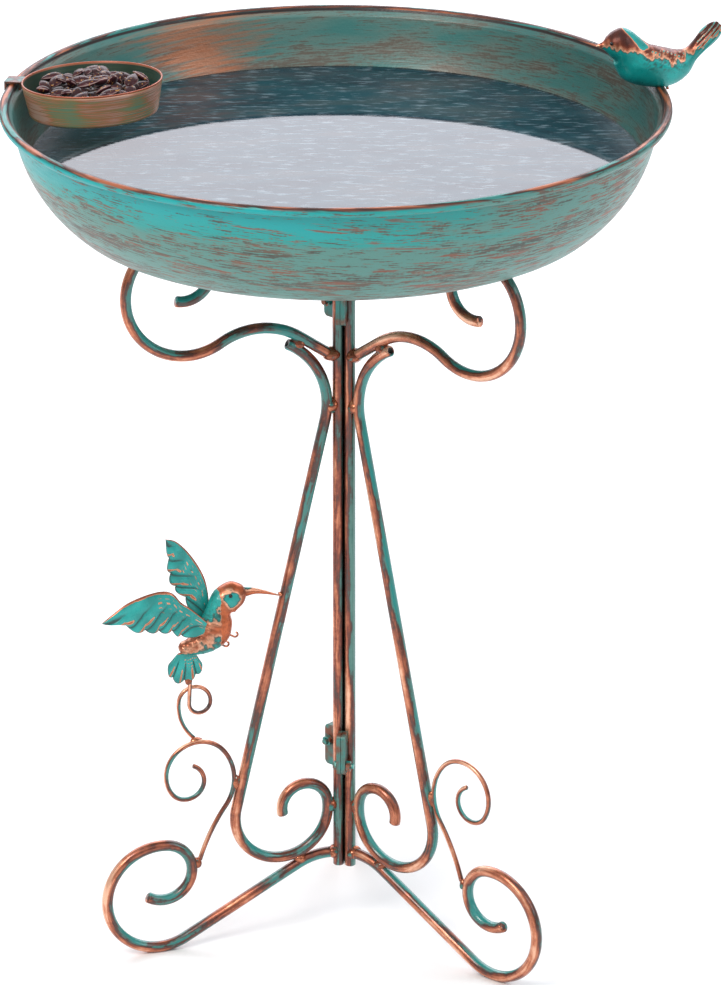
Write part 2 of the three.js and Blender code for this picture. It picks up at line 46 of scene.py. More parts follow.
# ---------------------------------------------------------------- sizes shared with the frame
GAP = 0.3
RIM_RADIUS = 202.9
BEAD_RADIUS = 2.9
BEAD_CENTRE = (RIM_RADIUS - BEAD_RADIUS, 70.6)  # out from the axis, and above the underside
BASIN_WALL = 1.3
FLOOR_RADIUS = 148.0
HEEL_RADIUS = 21.5
SIDE_RADIUS = 89.0
HEEL_SLOPE = 38.3
WALL_LEAN = 12.3
SEAT_HEIGHT = 472.7
ROD_DIAMETER = 7.0
FILLER_DIAMETER = 3.0
ROD_BORE = 1.9  # radius of the hole drilled in each strut's cut ends
POLE_BOTTOM = 39.0
POLE_TOP_GAP = 8.0
STAND_SHIFT = 5.2
STAND_SHIFT_ANGLE = 26.0
LEGS = {"left": (225, 225), "right": (345, 345), "rear": (105, 116)}  # rod angle, scroll plane's angle

# bends: radius and degrees, left turns positive; heading 0 is outwards and 90 is up
ARM_HEADING = 35
ARM_BENDS = [(23, 0), (46.5, -66), (39.5, 155.5), (27.5, 100.5), (18, 154)]
STRUT_ON_ARM = 21
STRUT_TAIL = 9.5
LOWER_LOOP_RADIUS = 30.5
LOWER_LOOP_TURN = 202.5
LOWER_CURL = (15, -191)
FOOT_HEADING = 5
FOOT_BENDS = [(41.5, -33), (84.5, 0), (34.5, 217), (18.5, 209.5)]
FOOT_CURL_RADIUS = 18.5
FILLER_SEAT = 169
FILLER_HEADING = 107
FILLER_FIRST_TURN = 18.5
FILLER_BENDS = [(31.5, -74.5), (21, -175.5), (11.5, -218)]

CUP_RADIUS = 43.0
CUP_BOTTOM_RADIUS = 39.5
CUP_HEIGHT = 21.0
CUP_WALL = 1.2
CUP_OVER_BEAD = 7.7
CUP_ANGLE = 194.5
CUP_CENTRE = 151.0
CUP_ROLL = 3.0
CUP_PITCH = 2.2

CUP_CORNER = 2.2  # radius round the edge of the bottom
CUP_LIP = 0.55  # radius of the rolled lip
SEED_COUNT = 135
SEED_SIZE = (14.5, 4.1, 2.5)  # length, half width and half thickness before it is tapered
SEED_MARGIN = 7.5  # from the cup's wall to the middle of the outermost seeds
HEAP_START = 4.0  # above the cup's underside
HEAP_HEIGHT = 21.0
HEAP_DROP = 6.0  # how much lower the heap is at its edge

PATCH_RADIUS = 190.0  # where the copper patch inside the basin lies
PATCH_ANGLE = 143.0
PATCH_HEIGHT = 530.0
WATER_LEVEL = 36.9  # above the underside of the basin
WATER_GAP = 0.15  # between the water and the paint under it
MENISCUS = (0.9, 1.6)  # how high and how far in the water climbs at its edge
FOOT_FLAT = 0.4  # how much of each foot is worn flat on the ground
SONGBIRD_ANGLE = 36.5
HUMMINGBIRD_SIDE = 3.0
WING_OFFSET = 4.8  # from the body's middle plane to the middle of each wing
WING_THICKNESS = 1.6
SUPPORT_DIAMETER = 2.6
SUPPORT_START = (102.2, 182.3)  # out and up in the left leg's plane
SUPPORT_HEADING = -88.7
SUPPORT_BENDS = [(15.5, 0), (7.1, -180), (10, -177), (33, -52)]
KEY_LIGHT_SIDE = STAND_SHIFT_ANGLE + 180  # the camera's left, towards the key light: the copper lift on this side is painted light

rod_radius = ROD_DIAMETER / 2
rod_centre = (ROD_DIAMETER + GAP) / math.sqrt(3)
touch = rod_centre + rod_radius + GAP + rod_radius
apart = ROD_DIAMETER + GAP


# ---------------------------------------------------------------- geometry helpers
def direction(degrees):
    """The unit vector at an angle from the first axis."""
    a = np.radians(degrees)
    return np.stack([np.cos(a), np.sin(a)], axis=-1)


def turned(points, degrees):
    """Points turned about the upright axis."""
    c, s = math.cos(math.radians(degrees)), math.sin(math.radians(degrees))
    return points @ np.array([[c, s, 0], [-s, c, 0], [0, 0, 1]])


def bent_route(start, heading, bends, spacing):
    """A flat route of straight stretches and arcs, one after the other.

    On an arc the heading grows evenly with the distance, and each point is the arc's centre plus the
    radius along the normal. Returns the points, the headings, the distances and the turning per step.
    """
    here, travelled = np.array(start, float), 0.0
    points, headings, distances, turns = [here[None]], [np.array([heading])], [np.zeros(1)], [np.zeros(1)]
    for radius, turn in bends:
        length = radius if turn == 0 else radius * math.radians(abs(turn))
        count = max(2, int(round(length / spacing)))
        share = np.arange(1, count + 1) / count
        angles = heading + turn * share
        if turn == 0:
            stretch = here + share[:, None] * length * direction(heading)
        else:
            centre = here + math.copysign(radius, turn) * direction(heading + 90)
            stretch = centre - math.copysign(radius, turn) * direction(angles + 90)
        points.append(stretch)
        headings.append(angles)
        distances.append(travelled + share * length)
        turns.append(np.full(count, math.copysign(1.0, turn) if turn else 0.0))
        here, heading, travelled = stretch[-1], angles[-1], travelled + length
    return tuple(np.concatenate(x) for x in (points, headings, distances, turns))


def smooth_rows(table, samples):
    """A smooth table through a few rows: each column is a Catmull-Rom cubic in the row number."""
    table = np.asarray(table, float)
    at = np.linspace(0, len(table) - 1, samples)
    k = np.clip(at.astype(int), 0, len(table) - 2)
    t = (at - k)[:, None]
    padded = np.concatenate([2 * table[:1] - table[1:2], table, 2 * table[-1:] - table[-2:-1]])
    a, b, c, d = padded[k], padded[k + 1], padded[k + 2], padded[k + 3]
    return b + 0.5 * t * (c - a + t * (2 * a - 5 * b + 4 * c - d + t * (3 * (b - c) + d - a)))


def grid_faces(rows, columns):
    """The four corners of every cell of a grid whose columns join up all round."""
    i, j = np.meshgrid(np.arange(rows - 1), np.arange(columns), indexing="ij")
    i, j = i.ravel(), j.ravel()
    down, across = i + 1, (j + 1) % columns
    return np.stack([i * columns + j, i * columns + across, down * columns + across, down * columns + j], -1)


def mesh_piece(name, points, faces, material, body, replaces=(), attributes=None):
    """Makes a named piece from points in millimetres and rides it on its body."""
    mesh = bpy.data.meshes.new(name)
    mesh.from_pydata((np.asarray(points, float) * MM).tolist(), [], faces)
    mesh.shade_smooth()
    for key, values in (attributes or {}).items():
        values = np.asarray(values, np.float32)
        flat = values.ndim == 1
        layer = mesh.attributes.new(key, "FLOAT" if flat else "FLOAT_VECTOR", "POINT")
        layer.data.foreach_set("value" if flat else "vector", values.ravel())
    mesh.materials.append(material)
    piece = bpy.data.objects.new(name, mesh)
    bpy.context.scene.collection.objects.link(piece)
    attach(piece, body)
    if replaces:
        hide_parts(*replaces)
    return piece


def capped(points):
    """Faces of a ring grid with its first and last ring closed by flat caps."""
    rows, columns = points.shape[:2]
    faces = grid_faces(rows, columns).tolist()
    start = list(range(columns))
    end = list(range((rows - 1) * columns, rows * columns))
    return faces + [start[::-1], end]


def revolved(profile, segments):
    """A profile of radius and height turned about the upright axis: x and y are radius times the turn."""
    profile = np.asarray(profile, float)
    turn = direction(np.arange(segments) * 360 / segments)
    radius = profile[:, None, :1]
    height = np.broadcast_to(profile[:, None, 1:], (len(profile), segments, 1))
    return np.concatenate([radius * turn[None], height], axis=2)


def wire(route, radius, sides, drift, bore):
    """A round wire along a flat route: each point is the route's plus the radius round its heading.

    The angle round the wire starts at the side of the plane, and the wire drifts evenly from one side
    offset to another. Each end has a small chamfer and, if there is a bore, a round recess in its face.
    Returns the ring grid, the way each point faces, the distance with the angle's cosine and sine, how
    far each point lies on the outside of its bend, and a mask of the recess.
    """
    chamfer, recess = 0.12 * radius, 2.0
    points, headings, distances, turns = (x[1:-1] if len(x) > 4 else x for x in route)
    extra = 3 if bore else 1
    repeated = np.concatenate([np.zeros(extra, int), np.arange(len(points)), np.full(extra, len(points) - 1)])
    offset = np.zeros(len(repeated))
    radii = np.full(len(repeated), float(radius))
    lead = [recess, 0, 0] if bore else [0]
    thin = [bore, bore, radius - chamfer] if bore else [radius - chamfer]
    ends = np.array(lead) - chamfer
    offset[:extra], offset[-extra:] = ends, -ends[::-1]
    radii[:extra], radii[-extra:] = thin, thin[::-1]
    points, headings, distances, turns = (x[repeated] for x in (points, headings, distances, turns))
    points = points + offset[:, None] * direction(headings)
    angle = (np.arange(sides) + 0.5) * 2 * np.pi / sides
    across, upright = np.cos(angle), np.sin(angle)
    normal = direction(headings + 90)
    facing = np.stack(np.broadcast_arrays(upright * normal[:, :1], across, upright * normal[:, 1:]), -1)
    side = np.linspace(*drift, len(points))
    grid = np.stack([points[:, 0], side, points[:, 1]], -1)[:, None] + radii[:, None, None] * facing
    width = min(15, len(turns) // 3)
    window = 2 * width + 1
    bow = np.convolve(np.pad(turns, width, mode="edge"), np.ones(window) / window, "valid")
    run = np.stack(np.broadcast_arrays(distances[:, None], across, upright), -1)
    hollow = np.broadcast_to((radii < 0.8 * radius)[:, None] * 1.0, run.shape[:2])
    return grid, facing, run, -bow[:, None] * upright, hollow


def in_leg(points, leg):
    """From a leg's plane, x outwards from the pole's axis, to the row frame."""
    rod_angle, plane_angle = LEGS[leg]
    moved = turned(np.asarray(points) - [rod_centre, 0, 0], plane_angle)
    place = rod_centre * direction(rod_angle) + STAND_SHIFT * direction(STAND_SHIFT_ANGLE)
    return moved + [place[0], place[1], 0]


def in_left_leg(points):
    """From the left leg's plane to the row frame."""
    return in_leg(points, "left")


# ---------------------------------------------------------------- scroll routes in a leg's plane
SPACING = 1.6


def arm_route():
    """The arm: straight off the pole, over, down and round under the basin into its curl."""
    out = rod_centre + rod_radius + GAP + rod_radius * math.sin(math.radians(ARM_HEADING))
    trial = bent_route((out, 0.0), ARM_HEADING, ARM_BENDS, SPACING)
    rise = SEAT_HEIGHT - GAP - rod_radius - trial[0][:, 1].max()
    return bent_route((out, rise), ARM_HEADING, ARM_BENDS, SPACING)


def foot_route():
    """The foot: out and down off the pole, straight to the ground and up round into its curl."""
    out = rod_centre + rod_radius + GAP + rod_radius * math.sin(math.radians(FOOT_HEADING))
    trial = bent_route((out, 0.0), FOOT_HEADING, FOOT_BENDS, SPACING)
    rise = rod_radius - FOOT_FLAT - trial[0][:, 1].min()
    return bent_route((out, rise), FOOT_HEADING, FOOT_BENDS, SPACING)


def strut_route(arm, foot):
    """The strut: round from under the arm, straight down as the tangent of both bends, and curled up."""
    along = direction(ARM_HEADING)
    on_arm = arm[0][0] + STRUT_ON_ARM * along - apart * direction(ARM_HEADING + 90)
    upper_radius = (on_arm[0] - touch) / (1 - math.sin(math.radians(ARM_HEADING)))
    upper_centre = on_arm + upper_radius * direction(ARM_HEADING - 90)
    reach = LOWER_LOOP_RADIUS + apart
    x = touch + LOWER_LOOP_RADIUS
    near = foot[0][(foot[0][:, 0] < x + reach) & (foot[2] < 45)]
    height = (near[:, 1] + np.sqrt(np.maximum(0, reach ** 2 - (near[:, 0] - x) ** 2))).max()
    loop_centre = np.array([x, height])
    between = loop_centre - upper_centre
    distance = np.hypot(*between)
    radii = upper_radius + LOWER_LOOP_RADIUS
    lean = math.degrees(math.asin(radii / distance) - math.atan2(-between[0], -between[1]))
    straight = math.sqrt(distance ** 2 - radii ** 2)
    start_heading = ARM_HEADING - 180 - STRUT_TAIL
    start = upper_centre - upper_radius * direction(start_heading + 90)
    bends = [
        (upper_radius, lean - 90 - start_heading),
        (straight, 0),
        (LOWER_LOOP_RADIUS, -LOWER_LOOP_TURN),
        LOWER_CURL,
    ]
    return bent_route(start, start_heading, bends, SPACING), loop_centre, lean


def filler_route(foot, loop_centre, lean):
    """The thin filler: up off the foot's curl, opening to graze the strut, and curled in on itself."""
    clear = rod_radius + GAP + FILLER_DIAMETER / 2
    curl_centre = foot[0][-1] + FOOT_CURL_RADIUS * direction(foot[1][-1] + 90)
    start = curl_centre + (FOOT_CURL_RADIUS + clear) * direction(FILLER_SEAT)
    second = FILLER_HEADING + FILLER_FIRST_TURN
    second_radius = FILLER_BENDS[0][0]
    opening = direction(FILLER_HEADING + 90) - direction(second + 90)
    outwards = direction(lean)
    on_strut = loop_centre + LOWER_LOOP_RADIUS * outwards
    without = start - second_radius * direction(second + 90)
    first_radius = (second_radius + clear - outwards @ (without - on_strut)) / (outwards @ opening)
    bends = [(first_radius, FILLER_FIRST_TURN)] + FILLER_BENDS
    return bent_route(start, FILLER_HEADING, bends, 1.2)


# ---------------------------------------------------------------- finishes
def linear(code):
    """An sRGB hex colour as linear red, green, blue and alpha."""
    value = np.array([int(code[i:i + 2], 16) for i in (1, 3, 5)]) / 255
    value = np.where(value <= 0.04045, value / 12.92, ((value + 0.055) / 1.055) ** 2.4)
    return (*value.tolist(), 1.0)


def per_metre(size_mm):
    """How many times a pattern of this size repeats in a metre."""
    return 1 / (size_mm * MM)


def add(tree, kind, inputs=None, stops=None, output=0, **settings):
    """Adds a node with its settings, its linked or set inputs and its colour stops; returns one output.

    Inputs go by their name or number: a noise's value is first, a range's ends are 1 to 4, and a sum
    with a weight is input 0 times input 1 plus input 2.
    """
    node = tree.nodes.new("ShaderNode" + kind)
    for key, value in settings.items():
        setattr(node, key, value)
    for key, value in (inputs or {}).items():
        if isinstance(value, bpy.types.NodeSocket):
            tree.links.new(value, node.inputs[key])
        else:
            node.inputs[key].default_value = value
    if stops:
        ramp = node.color_ramp.elements
        while len(ramp) < len(stops):
            ramp.new(0.5)
        for element, (position, colour) in zip(ramp, stops):
            element.position = position
            element.color = linear(colour)
    return node.outputs[output]


def new_material(name):
    """A material with its output and a Principled shader."""
    material = bpy.data.materials.new(name)
    material.use_nodes = True
    tree = material.node_tree
    tree.nodes.clear()
    shader = add(tree, "BsdfPrincipled").node
    surface = tree.nodes.new("ShaderNodeOutputMaterial")
    tree.links.new(shader.outputs[0], surface.inputs["Surface"])
    return material, tree, shader


def finish_shader(tree, shader, colour, metallic, roughness, height, depth_mm):
    """Links a colour, a metallic mask, a roughness and a relief of the given depth to the shader."""
    bump = add(tree, "Bump", {"Strength": 1.0, "Distance": depth_mm * MM, "Height": height})
    for key, value in (("Base Color", colour), ("Metallic", metallic), ("Roughness", roughness)):
        tree.links.new(value, shader.inputs[key])
    tree.links.new(bump, shader.inputs["Normal"])


def brushed_wire_paint(name, copper_share, teal, copper, patch_mm):
    """Steel wire sprayed verdigris and dry-brushed with copper paint.

    The brush drags along the wire, so copper lies in streaks some 26 mm long and on the outside of the
    bends; verdigris stays inside the curls, with a dark brown base coat showing in between. Painted light
    lies over this: more copper on the side towards the key light, copper dry-brushed on the faces that look
    out of the leg's plane, which also paints a highlight down the rod's middle and shade at its edges, and a
    pale painted highlight where the lift is highest.
    """
    material, tree, shader = new_material(name)
    run = add(tree, "Attribute", attribute_name="run", output="Vector")
    lay = add(tree, "Attribute", attribute_name="lay", output="Vector")
    place = add(tree, "TexCoord", output="Object")
    spread = add(tree, "SeparateXYZ", {0: lay}).node.outputs
    patch_scale = tuple(per_metre(size) for size in patch_mm)
    patch_at = add(tree, "VectorMath", {0: place, 1: patch_scale}, operation="MULTIPLY")
    patches = add(tree, "TexNoise", {"Vector": patch_at, "Scale": 1.0, "Detail": 3.0})
    streak_mm = 26  # along the wire
    streak_at = add(tree, "VectorMath", {0: run, 1: (1 / streak_mm, 1.5, 1.5)}, operation="MULTIPLY")
    streaks = add(tree, "TexNoise", {"Vector": streak_at, "Scale": 1.0, "Detail": 5.0})
    mottle = add(tree, "TexNoise", {"Vector": place, "Scale": per_metre(2.38), "Detail": 2.0})
    # side: brushed copper with a painted highlight down the middle and painted shade at the edges
    layers = [  # what the copper follows and how strongly: side, outside of bend, key light's side, then noises
        (spread[0], 0.12), (spread[1], 0.16), (spread[2], 0.16),
        (patches, 0.9), (streaks, 0.7), (mottle, 0.14),
    ]
    lift = copper_share - 0.46
    for layer, weight in layers:
        lift = add(tree, "Math", {0: layer, 1: weight, 2: lift}, operation="MULTIPLY_ADD")
    # the two palest stops are a painted highlight on the copper
    colour = add(tree, "ValToRGB", {0: lift}, stops=[
        (0.26, teal), (0.38, "#3f766e"), (0.44, "#40332d"), (0.50, "#542b21"),
        (0.58, copper), (0.69, "#c87a58"), (0.80, "#f4bc9c"),
    ])
    # painted shade: near black in the strut's bores and between the pole's rods
    shade = add(tree, "Attribute", attribute_name="shade", output="Fac")
    shaded = add(tree, "Mix", {0: shade, 6: colour, 7: linear("#0d0908")}, data_type="RGBA", output=2)
    metal = add(tree, "MapRange", {0: lift, 1: 0.44, 2: 0.6, 3: 0.0, 4: 0.7})
    rough = add(tree, "MapRange", {0: streaks, 1: 0.3, 2: 0.7, 3: 0.20, 4: 0.36})
    grain = add(tree, "TexNoise", {"Vector": place, "Scale": per_metre(1.11), "Detail": 2.0})
    height = add(tree, "Math", {0: grain, 1: 0.4, 2: lift}, operation="MULTIPLY_ADD")
    finish_shader(tree, shader, shaded, metal, rough, height, 0.08)
    shader.inputs["Coat Weight"].default_value = 0.5
    shader.inputs["Coat Roughness"].default_value = 0.12
    return material


def basin_paint():
    """Spun steel sprayed verdigris, streaked with copper brown paint by a stiff brush run round the basin.

    Outside, the verdigris is brighter in a band under the rim and greyer below, where the streaks
    thicken, and painted shade greys and darkens it towards the right; inside, the paint is greyer with
    one copper patch and painted shade darkens it towards the right; the rolled rim is rubbed through to
    copper, with painted shade in the crease inside it.
    """
    material, tree, shader = new_material("verdigris_paint_brushed_round")
    place = add(tree, "TexCoord", output="Object")
    across = add(tree, "Attribute", attribute_name="across", output="Fac")
    zone = add(tree, "Attribute", attribute_name="zone", output="Vector")
    zones = add(tree, "SeparateXYZ", {0: zone}).node.outputs  # outside, top of the bead, inside
    xyz = add(tree, "SeparateXYZ", {0: place}).node.outputs
    right_way = (*direction(STAND_SHIFT_ANGLE).tolist(), 0)
    rightward = add(tree, "VectorMath", {0: place, 1: right_way}, operation="DOT_PRODUCT", output="Value")
    slanted = add(tree, "Math", {0: rightward, 1: 60.0, 2: across}, operation="MULTIPLY_ADD")

    def streak_field(length_mm, width_mm, detail, shift):
        """Noise stretched round the basin: long by length_mm round it and width_mm across."""
        x = add(tree, "Math", {0: xyz[0], 1: per_metre(length_mm), 2: shift}, operation="MULTIPLY_ADD")
        y = add(tree, "Math", {0: xyz[1], 1: per_metre(length_mm), 2: shift}, operation="MULTIPLY_ADD")
        z = add(tree, "Math", {0: slanted, 1: 1 / width_mm}, operation="MULTIPLY")
        at = add(tree, "CombineXYZ", {0: x, 1: y, 2: z})
        return add(tree, "TexNoise", {"Vector": at, "Scale": 1.0, "Detail": detail})

    broad = streak_field(55, 13, 2.0, 3.0)
    fine = streak_field(11, 0.8, 3.0, 7.0)
    strokes = streak_field(34, 2.4, 2.0, 11.0)
    speckle = add(tree, "TexNoise", {"Vector": place, "Scale": per_metre(1.92), "Detail": 2.0})

    # the outside's teal is brighter above these heights and greyer, with thicker streaks, below them
    brighter_above, greyer_below = 0.534, 0.505  # heights in metres, under the rim
    low = add(tree, "MapRange", {0: xyz[2], 1: brighter_above, 2: greyer_below, 3: 0.0, 4: 1.0})
    # painted shade: the outside greys, darkens and streaks more towards the right; the bead turns more copper
    # there
    unshaded_left, shaded_right = -0.05, 0.16  # metres to the right of the axis
    to_right = add(tree, "MapRange", {0: rightward, 1: unshaded_left, 2: shaded_right, 3: 0.0, 4: 0.9})
    # greying lower down joined with the painted shade to the right
    greyer_low_shaded_right = add(tree, "Math", {0: low, 1: to_right}, operation="MAXIMUM")
    grey = add(tree, "Math", {0: broad, 1: 0.8, 2: greyer_low_shaded_right}, operation="MULTIPLY_ADD")
    teal = add(tree, "ValToRGB", {0: grey}, stops=[(0.40, "#00a0a2"), (0.85, "#1f9590"), (1.0, "#528880")])

    streaked = add(tree, "Math", {0: broad, 1: 0.6, 2: fine}, operation="MULTIPLY_ADD")
    weight = add(tree, "Math", {0: greyer_low_shaded_right, 1: 0.12, 2: streaked}, operation="MULTIPLY_ADD")
    heavy = add(tree, "Math", {0: speckle, 1: 0.25, 2: weight}, operation="MULTIPLY_ADD")
    brown_mask = add(tree, "MapRange", {0: heavy, 1: 1.03, 2: 1.11, 3: 0.0, 4: 0.85})
    brown = add(tree, "ValToRGB", {0: strokes}, stops=[(0.35, "#3f3a34"), (0.5, "#5e4438"), (0.7, "#8f5038")])
    outside = add(tree, "Mix", {0: brown_mask, 6: teal, 7: brown}, data_type="RGBA", output=2)
    stroke_at = add(tree, "Math", {0: to_right, 1: 0.07, 2: strokes}, operation="MULTIPLY_ADD")
    stroke_mask = add(tree, "MapRange", {0: stroke_at, 1: 0.66, 2: 0.72, 3: 0.0, 4: 0.85})
    outside = add(tree, "Mix", {0: stroke_mask, 6: outside, 7: linear("#7f4636")}, data_type="RGBA", output=2)

    # inside: greyer, with thin brown streaks and a copper patch at the back left
    inner_grey = add(tree, "ValToRGB", {0: broad},
                     stops=[(0.35, "#3d7a76"), (0.5, "#567e78"), (0.65, "#6e7a72")])
    inner_mask = add(tree, "MapRange", {0: heavy, 1: 1.0, 2: 1.12, 3: 0.0, 4: 0.6})
    inside = add(tree, "Mix", {0: inner_mask, 6: inner_grey, 7: linear("#5e4334")}, data_type="RGBA",
                 output=2)
    patch_at = (*(PATCH_RADIUS * MM * direction(PATCH_ANGLE)).tolist(), PATCH_HEIGHT * MM)
    away = add(tree, "VectorMath", {0: place, 1: patch_at}, operation="DISTANCE", output="Value")
    reach = add(tree, "Math", {0: strokes, 1: 0.10, 2: away}, operation="MULTIPLY_ADD")
    patch = add(tree, "MapRange", {0: reach, 1: 0.095, 2: 0.06, 3: 0.0, 4: 0.8})
    inside = add(tree, "Mix", {0: patch, 6: inside, 7: linear("#b5714e")}, data_type="RGBA", output=2)

    # painted shade: the inside's colour darkens towards the right
    inside_shade_right = add(tree, "MapRange", {0: rightward, 1: 0.06, 2: 0.19, 3: 1.0, 4: 0.55})
    inside = add(tree, "VectorMath", {0: inside, "Scale": inside_shade_right}, operation="SCALE")

    bead_wear = add(tree, "Math", {0: broad, 1: 0.6, 2: strokes}, operation="MULTIPLY_ADD")
    bead_noise = add(tree, "Math", {0: to_right, 1: 0.08, 2: bead_wear}, operation="MULTIPLY_ADD")
    bead = add(tree, "ValToRGB", {0: bead_noise}, stops=[
        (0.70, "#2f7f79"), (0.77, "#2c1c18"), (0.90, "#5f3225"), (1.0, "#a8603f"),
    ])
    body = add(tree, "Mix", {0: zones[2], 6: outside, 7: inside}, data_type="RGBA", output=2)
    colour = add(tree, "Mix", {0: zones[1], 6: body, 7: bead}, data_type="RGBA", output=2)
    # painted shade: near black in the creases beside the bead
    crease_shade = add(tree, "Attribute", attribute_name="crease_shade", output="Fac")
    colour = add(tree, "Mix", {0: crease_shade, 6: colour, 7: linear("#1d120f")}, data_type="RGBA", output=2)

    metal_in = add(tree, "Math", {0: zones[2], 1: patch}, operation="MULTIPLY")
    metal_sum = add(tree, "Math", {0: brown_mask, 1: 0.3, 2: metal_in}, operation="MULTIPLY_ADD")
    bead_metal = add(tree, "Math", {0: zones[1], 1: 0.5}, operation="MULTIPLY")
    metal_all = add(tree, "Math", {0: metal_sum, 1: bead_metal}, operation="MAXIMUM")
    metal = add(tree, "MapRange", {0: metal_all, 1: 0.0, 2: 1.0, 3: 0.0, 4: 0.6})
    rough = add(tree, "MapRange", {0: fine, 1: 0.3, 2: 0.7, 3: 0.30, 4: 0.46})
    height = add(tree, "Math", {0: heavy, 1: 0.8, 2: speckle}, operation="MULTIPLY_ADD")
    finish_shader(tree, shader, colour, metal, rough, height, 0.10)
    return material


def water_surface():
    """Still water with a breath of wind on it: dark with the basin's own colour, and mirror smooth.

    The ripples are a few millimetres across and long across the wind; their crests catch the light
    through the bump, and pale painted glints lie on them too.
    """
    material, tree, shader = new_material("still_water")
    place = add(tree, "TexCoord", output="Object")
    wind_turn = (0, 0, math.radians(STAND_SHIFT_ANGLE))
    ripple_size = (12 * MM, 3.2 * MM, 15 * MM)
    wind = add(tree, "Mapping", {"Vector": place, "Rotation": wind_turn, "Scale": ripple_size},
               vector_type="TEXTURE")
    ripples = add(tree, "TexNoise", {"Vector": wind, "Scale": 1.0, "Detail": 4.0})
    band_size = (60 * MM, 20 * MM, 50 * MM)
    deep = add(tree, "Mapping", {"Vector": place, "Rotation": wind_turn, "Scale": band_size},
               vector_type="TEXTURE")
    bands = add(tree, "TexNoise", {"Vector": deep, "Scale": 1.0, "Detail": 2.0})
    base = add(tree, "ValToRGB", {0: bands}, stops=[(0.35, "#10303c"), (0.5, "#1c3f4b"), (0.66, "#33434a")])
    # painted glints: pale colour on the ripple crests
    glint = add(tree, "MapRange", {0: ripples, 1: 0.54, 2: 0.74, 3: 0.0, 4: 0.5})
    colour = add(tree, "Mix", {0: glint, 6: base, 7: linear("#93a9b4")}, data_type="RGBA", output=2)
    bump = add(tree, "Bump", {"Strength": 1.0, "Distance": 0.009 * MM, "Height": ripples})
    tree.links.new(colour, shader.inputs["Base Color"])
    tree.links.new(bump, shader.inputs["Normal"])
    shader.inputs["Roughness"].default_value = 0.03
    shader.inputs["IOR"].default_value = 1.333
    return material


def cup_paint():
    """Spun cup rubbed through to bare copper, with fine bands of green and olive left by the lathe brush."""
    material, tree, shader = new_material("copper_banded_with_verdigris")
    place = add(tree, "TexCoord", output="Object")
    across = add(tree, "Attribute", attribute_name="across", output="Fac")
    zone = add(tree, "Attribute", attribute_name="zone", output="Vector")
    zones = add(tree, "SeparateXYZ", {0: zone}).node.outputs
    xyz = add(tree, "SeparateXYZ", {0: place}).node.outputs
    band_mm = (35.7, 0.526)  # length round the cup and width up its wall
    around = [add(tree, "Math", {0: axis, 1: per_metre(band_mm[0])}, operation="MULTIPLY")
              for axis in xyz[:2]]
    up = add(tree, "Math", {0: across, 1: 1 / band_mm[1]}, operation="MULTIPLY")
    at = add(tree, "CombineXYZ", {0: around[0], 1: around[1], 2: up})
    bands = add(tree, "TexNoise", {"Vector": at, "Scale": 1.0, "Detail": 4.0})
    patches = add(tree, "TexNoise", {"Vector": place, "Scale": per_metre(23.8), "Detail": 1.0})
    mixed = add(tree, "Math", {0: patches, 1: 0.75, 2: bands}, operation="MULTIPLY_ADD")
    tone = add(tree, "Math", {0: mixed, 1: 0.33}, operation="SUBTRACT")
    # the palest pink stop is a painted highlight on the bare copper
    wall = add(tree, "ValToRGB", {0: tone}, stops=[
        (0.25, "#5f9a84"), (0.38, "#7f9270"), (0.48, "#978a62"), (0.56, "#d0805a"), (0.68, "#f4c8b4"),
    ])
    inner = add(tree, "ValToRGB", {0: bands}, stops=[(0.4, "#20382f"), (0.6, "#3a4f3e"), (0.75, "#5a4a38")])
    lip = linear("#a8583c")
    body = add(tree, "Mix", {0: zones[2], 6: wall, 7: inner}, data_type="RGBA", output=2)
    colour = add(tree, "Mix", {0: zones[1], 6: body, 7: lip}, data_type="RGBA", output=2)
    metal = add(tree, "MapRange", {0: mixed, 1: 0.78, 2: 1.0, 3: 0.1, 4: 0.6})
    rough = add(tree, "MapRange", {0: bands, 1: 0.3, 2: 0.7, 3: 0.28, 4: 0.42})
    finish_shader(tree, shader, colour, metal, rough, bands, 0.06)
    return material


def plain_paint(name, stops, scale_mm, metallic, roughness, relief_mm):
    """Paint or metal mottled in patches of a given size, with a fine grain of its own."""
    material, tree, shader = new_material(name)
    place = add(tree, "TexCoord", output="Object")
    mottle = add(tree, "TexNoise", {"Vector": place, "Scale": per_metre(scale_mm), "Detail": 3.0})
    grain = add(tree, "TexNoise", {"Vector": place, "Scale": per_metre(0.909), "Detail": 2.0})
    colour = add(tree, "ValToRGB", {0: mottle}, stops=stops)
    metal = add(tree, "MapRange", {0: mottle, 1: 0.4, 2: 0.6, 3: metallic * 0.4, 4: metallic})
    rough = add(tree, "MapRange", {0: grain, 1: 0.3, 2: 0.7, 3: roughness * 0.8, 4: roughness * 1.2})
    height = add(tree, "Math", {0: grain, 1: 0.3, 2: mottle}, operation="MULTIPLY_ADD")
    finish_shader(tree, shader, colour, metal, rough, height, relief_mm)
    return material


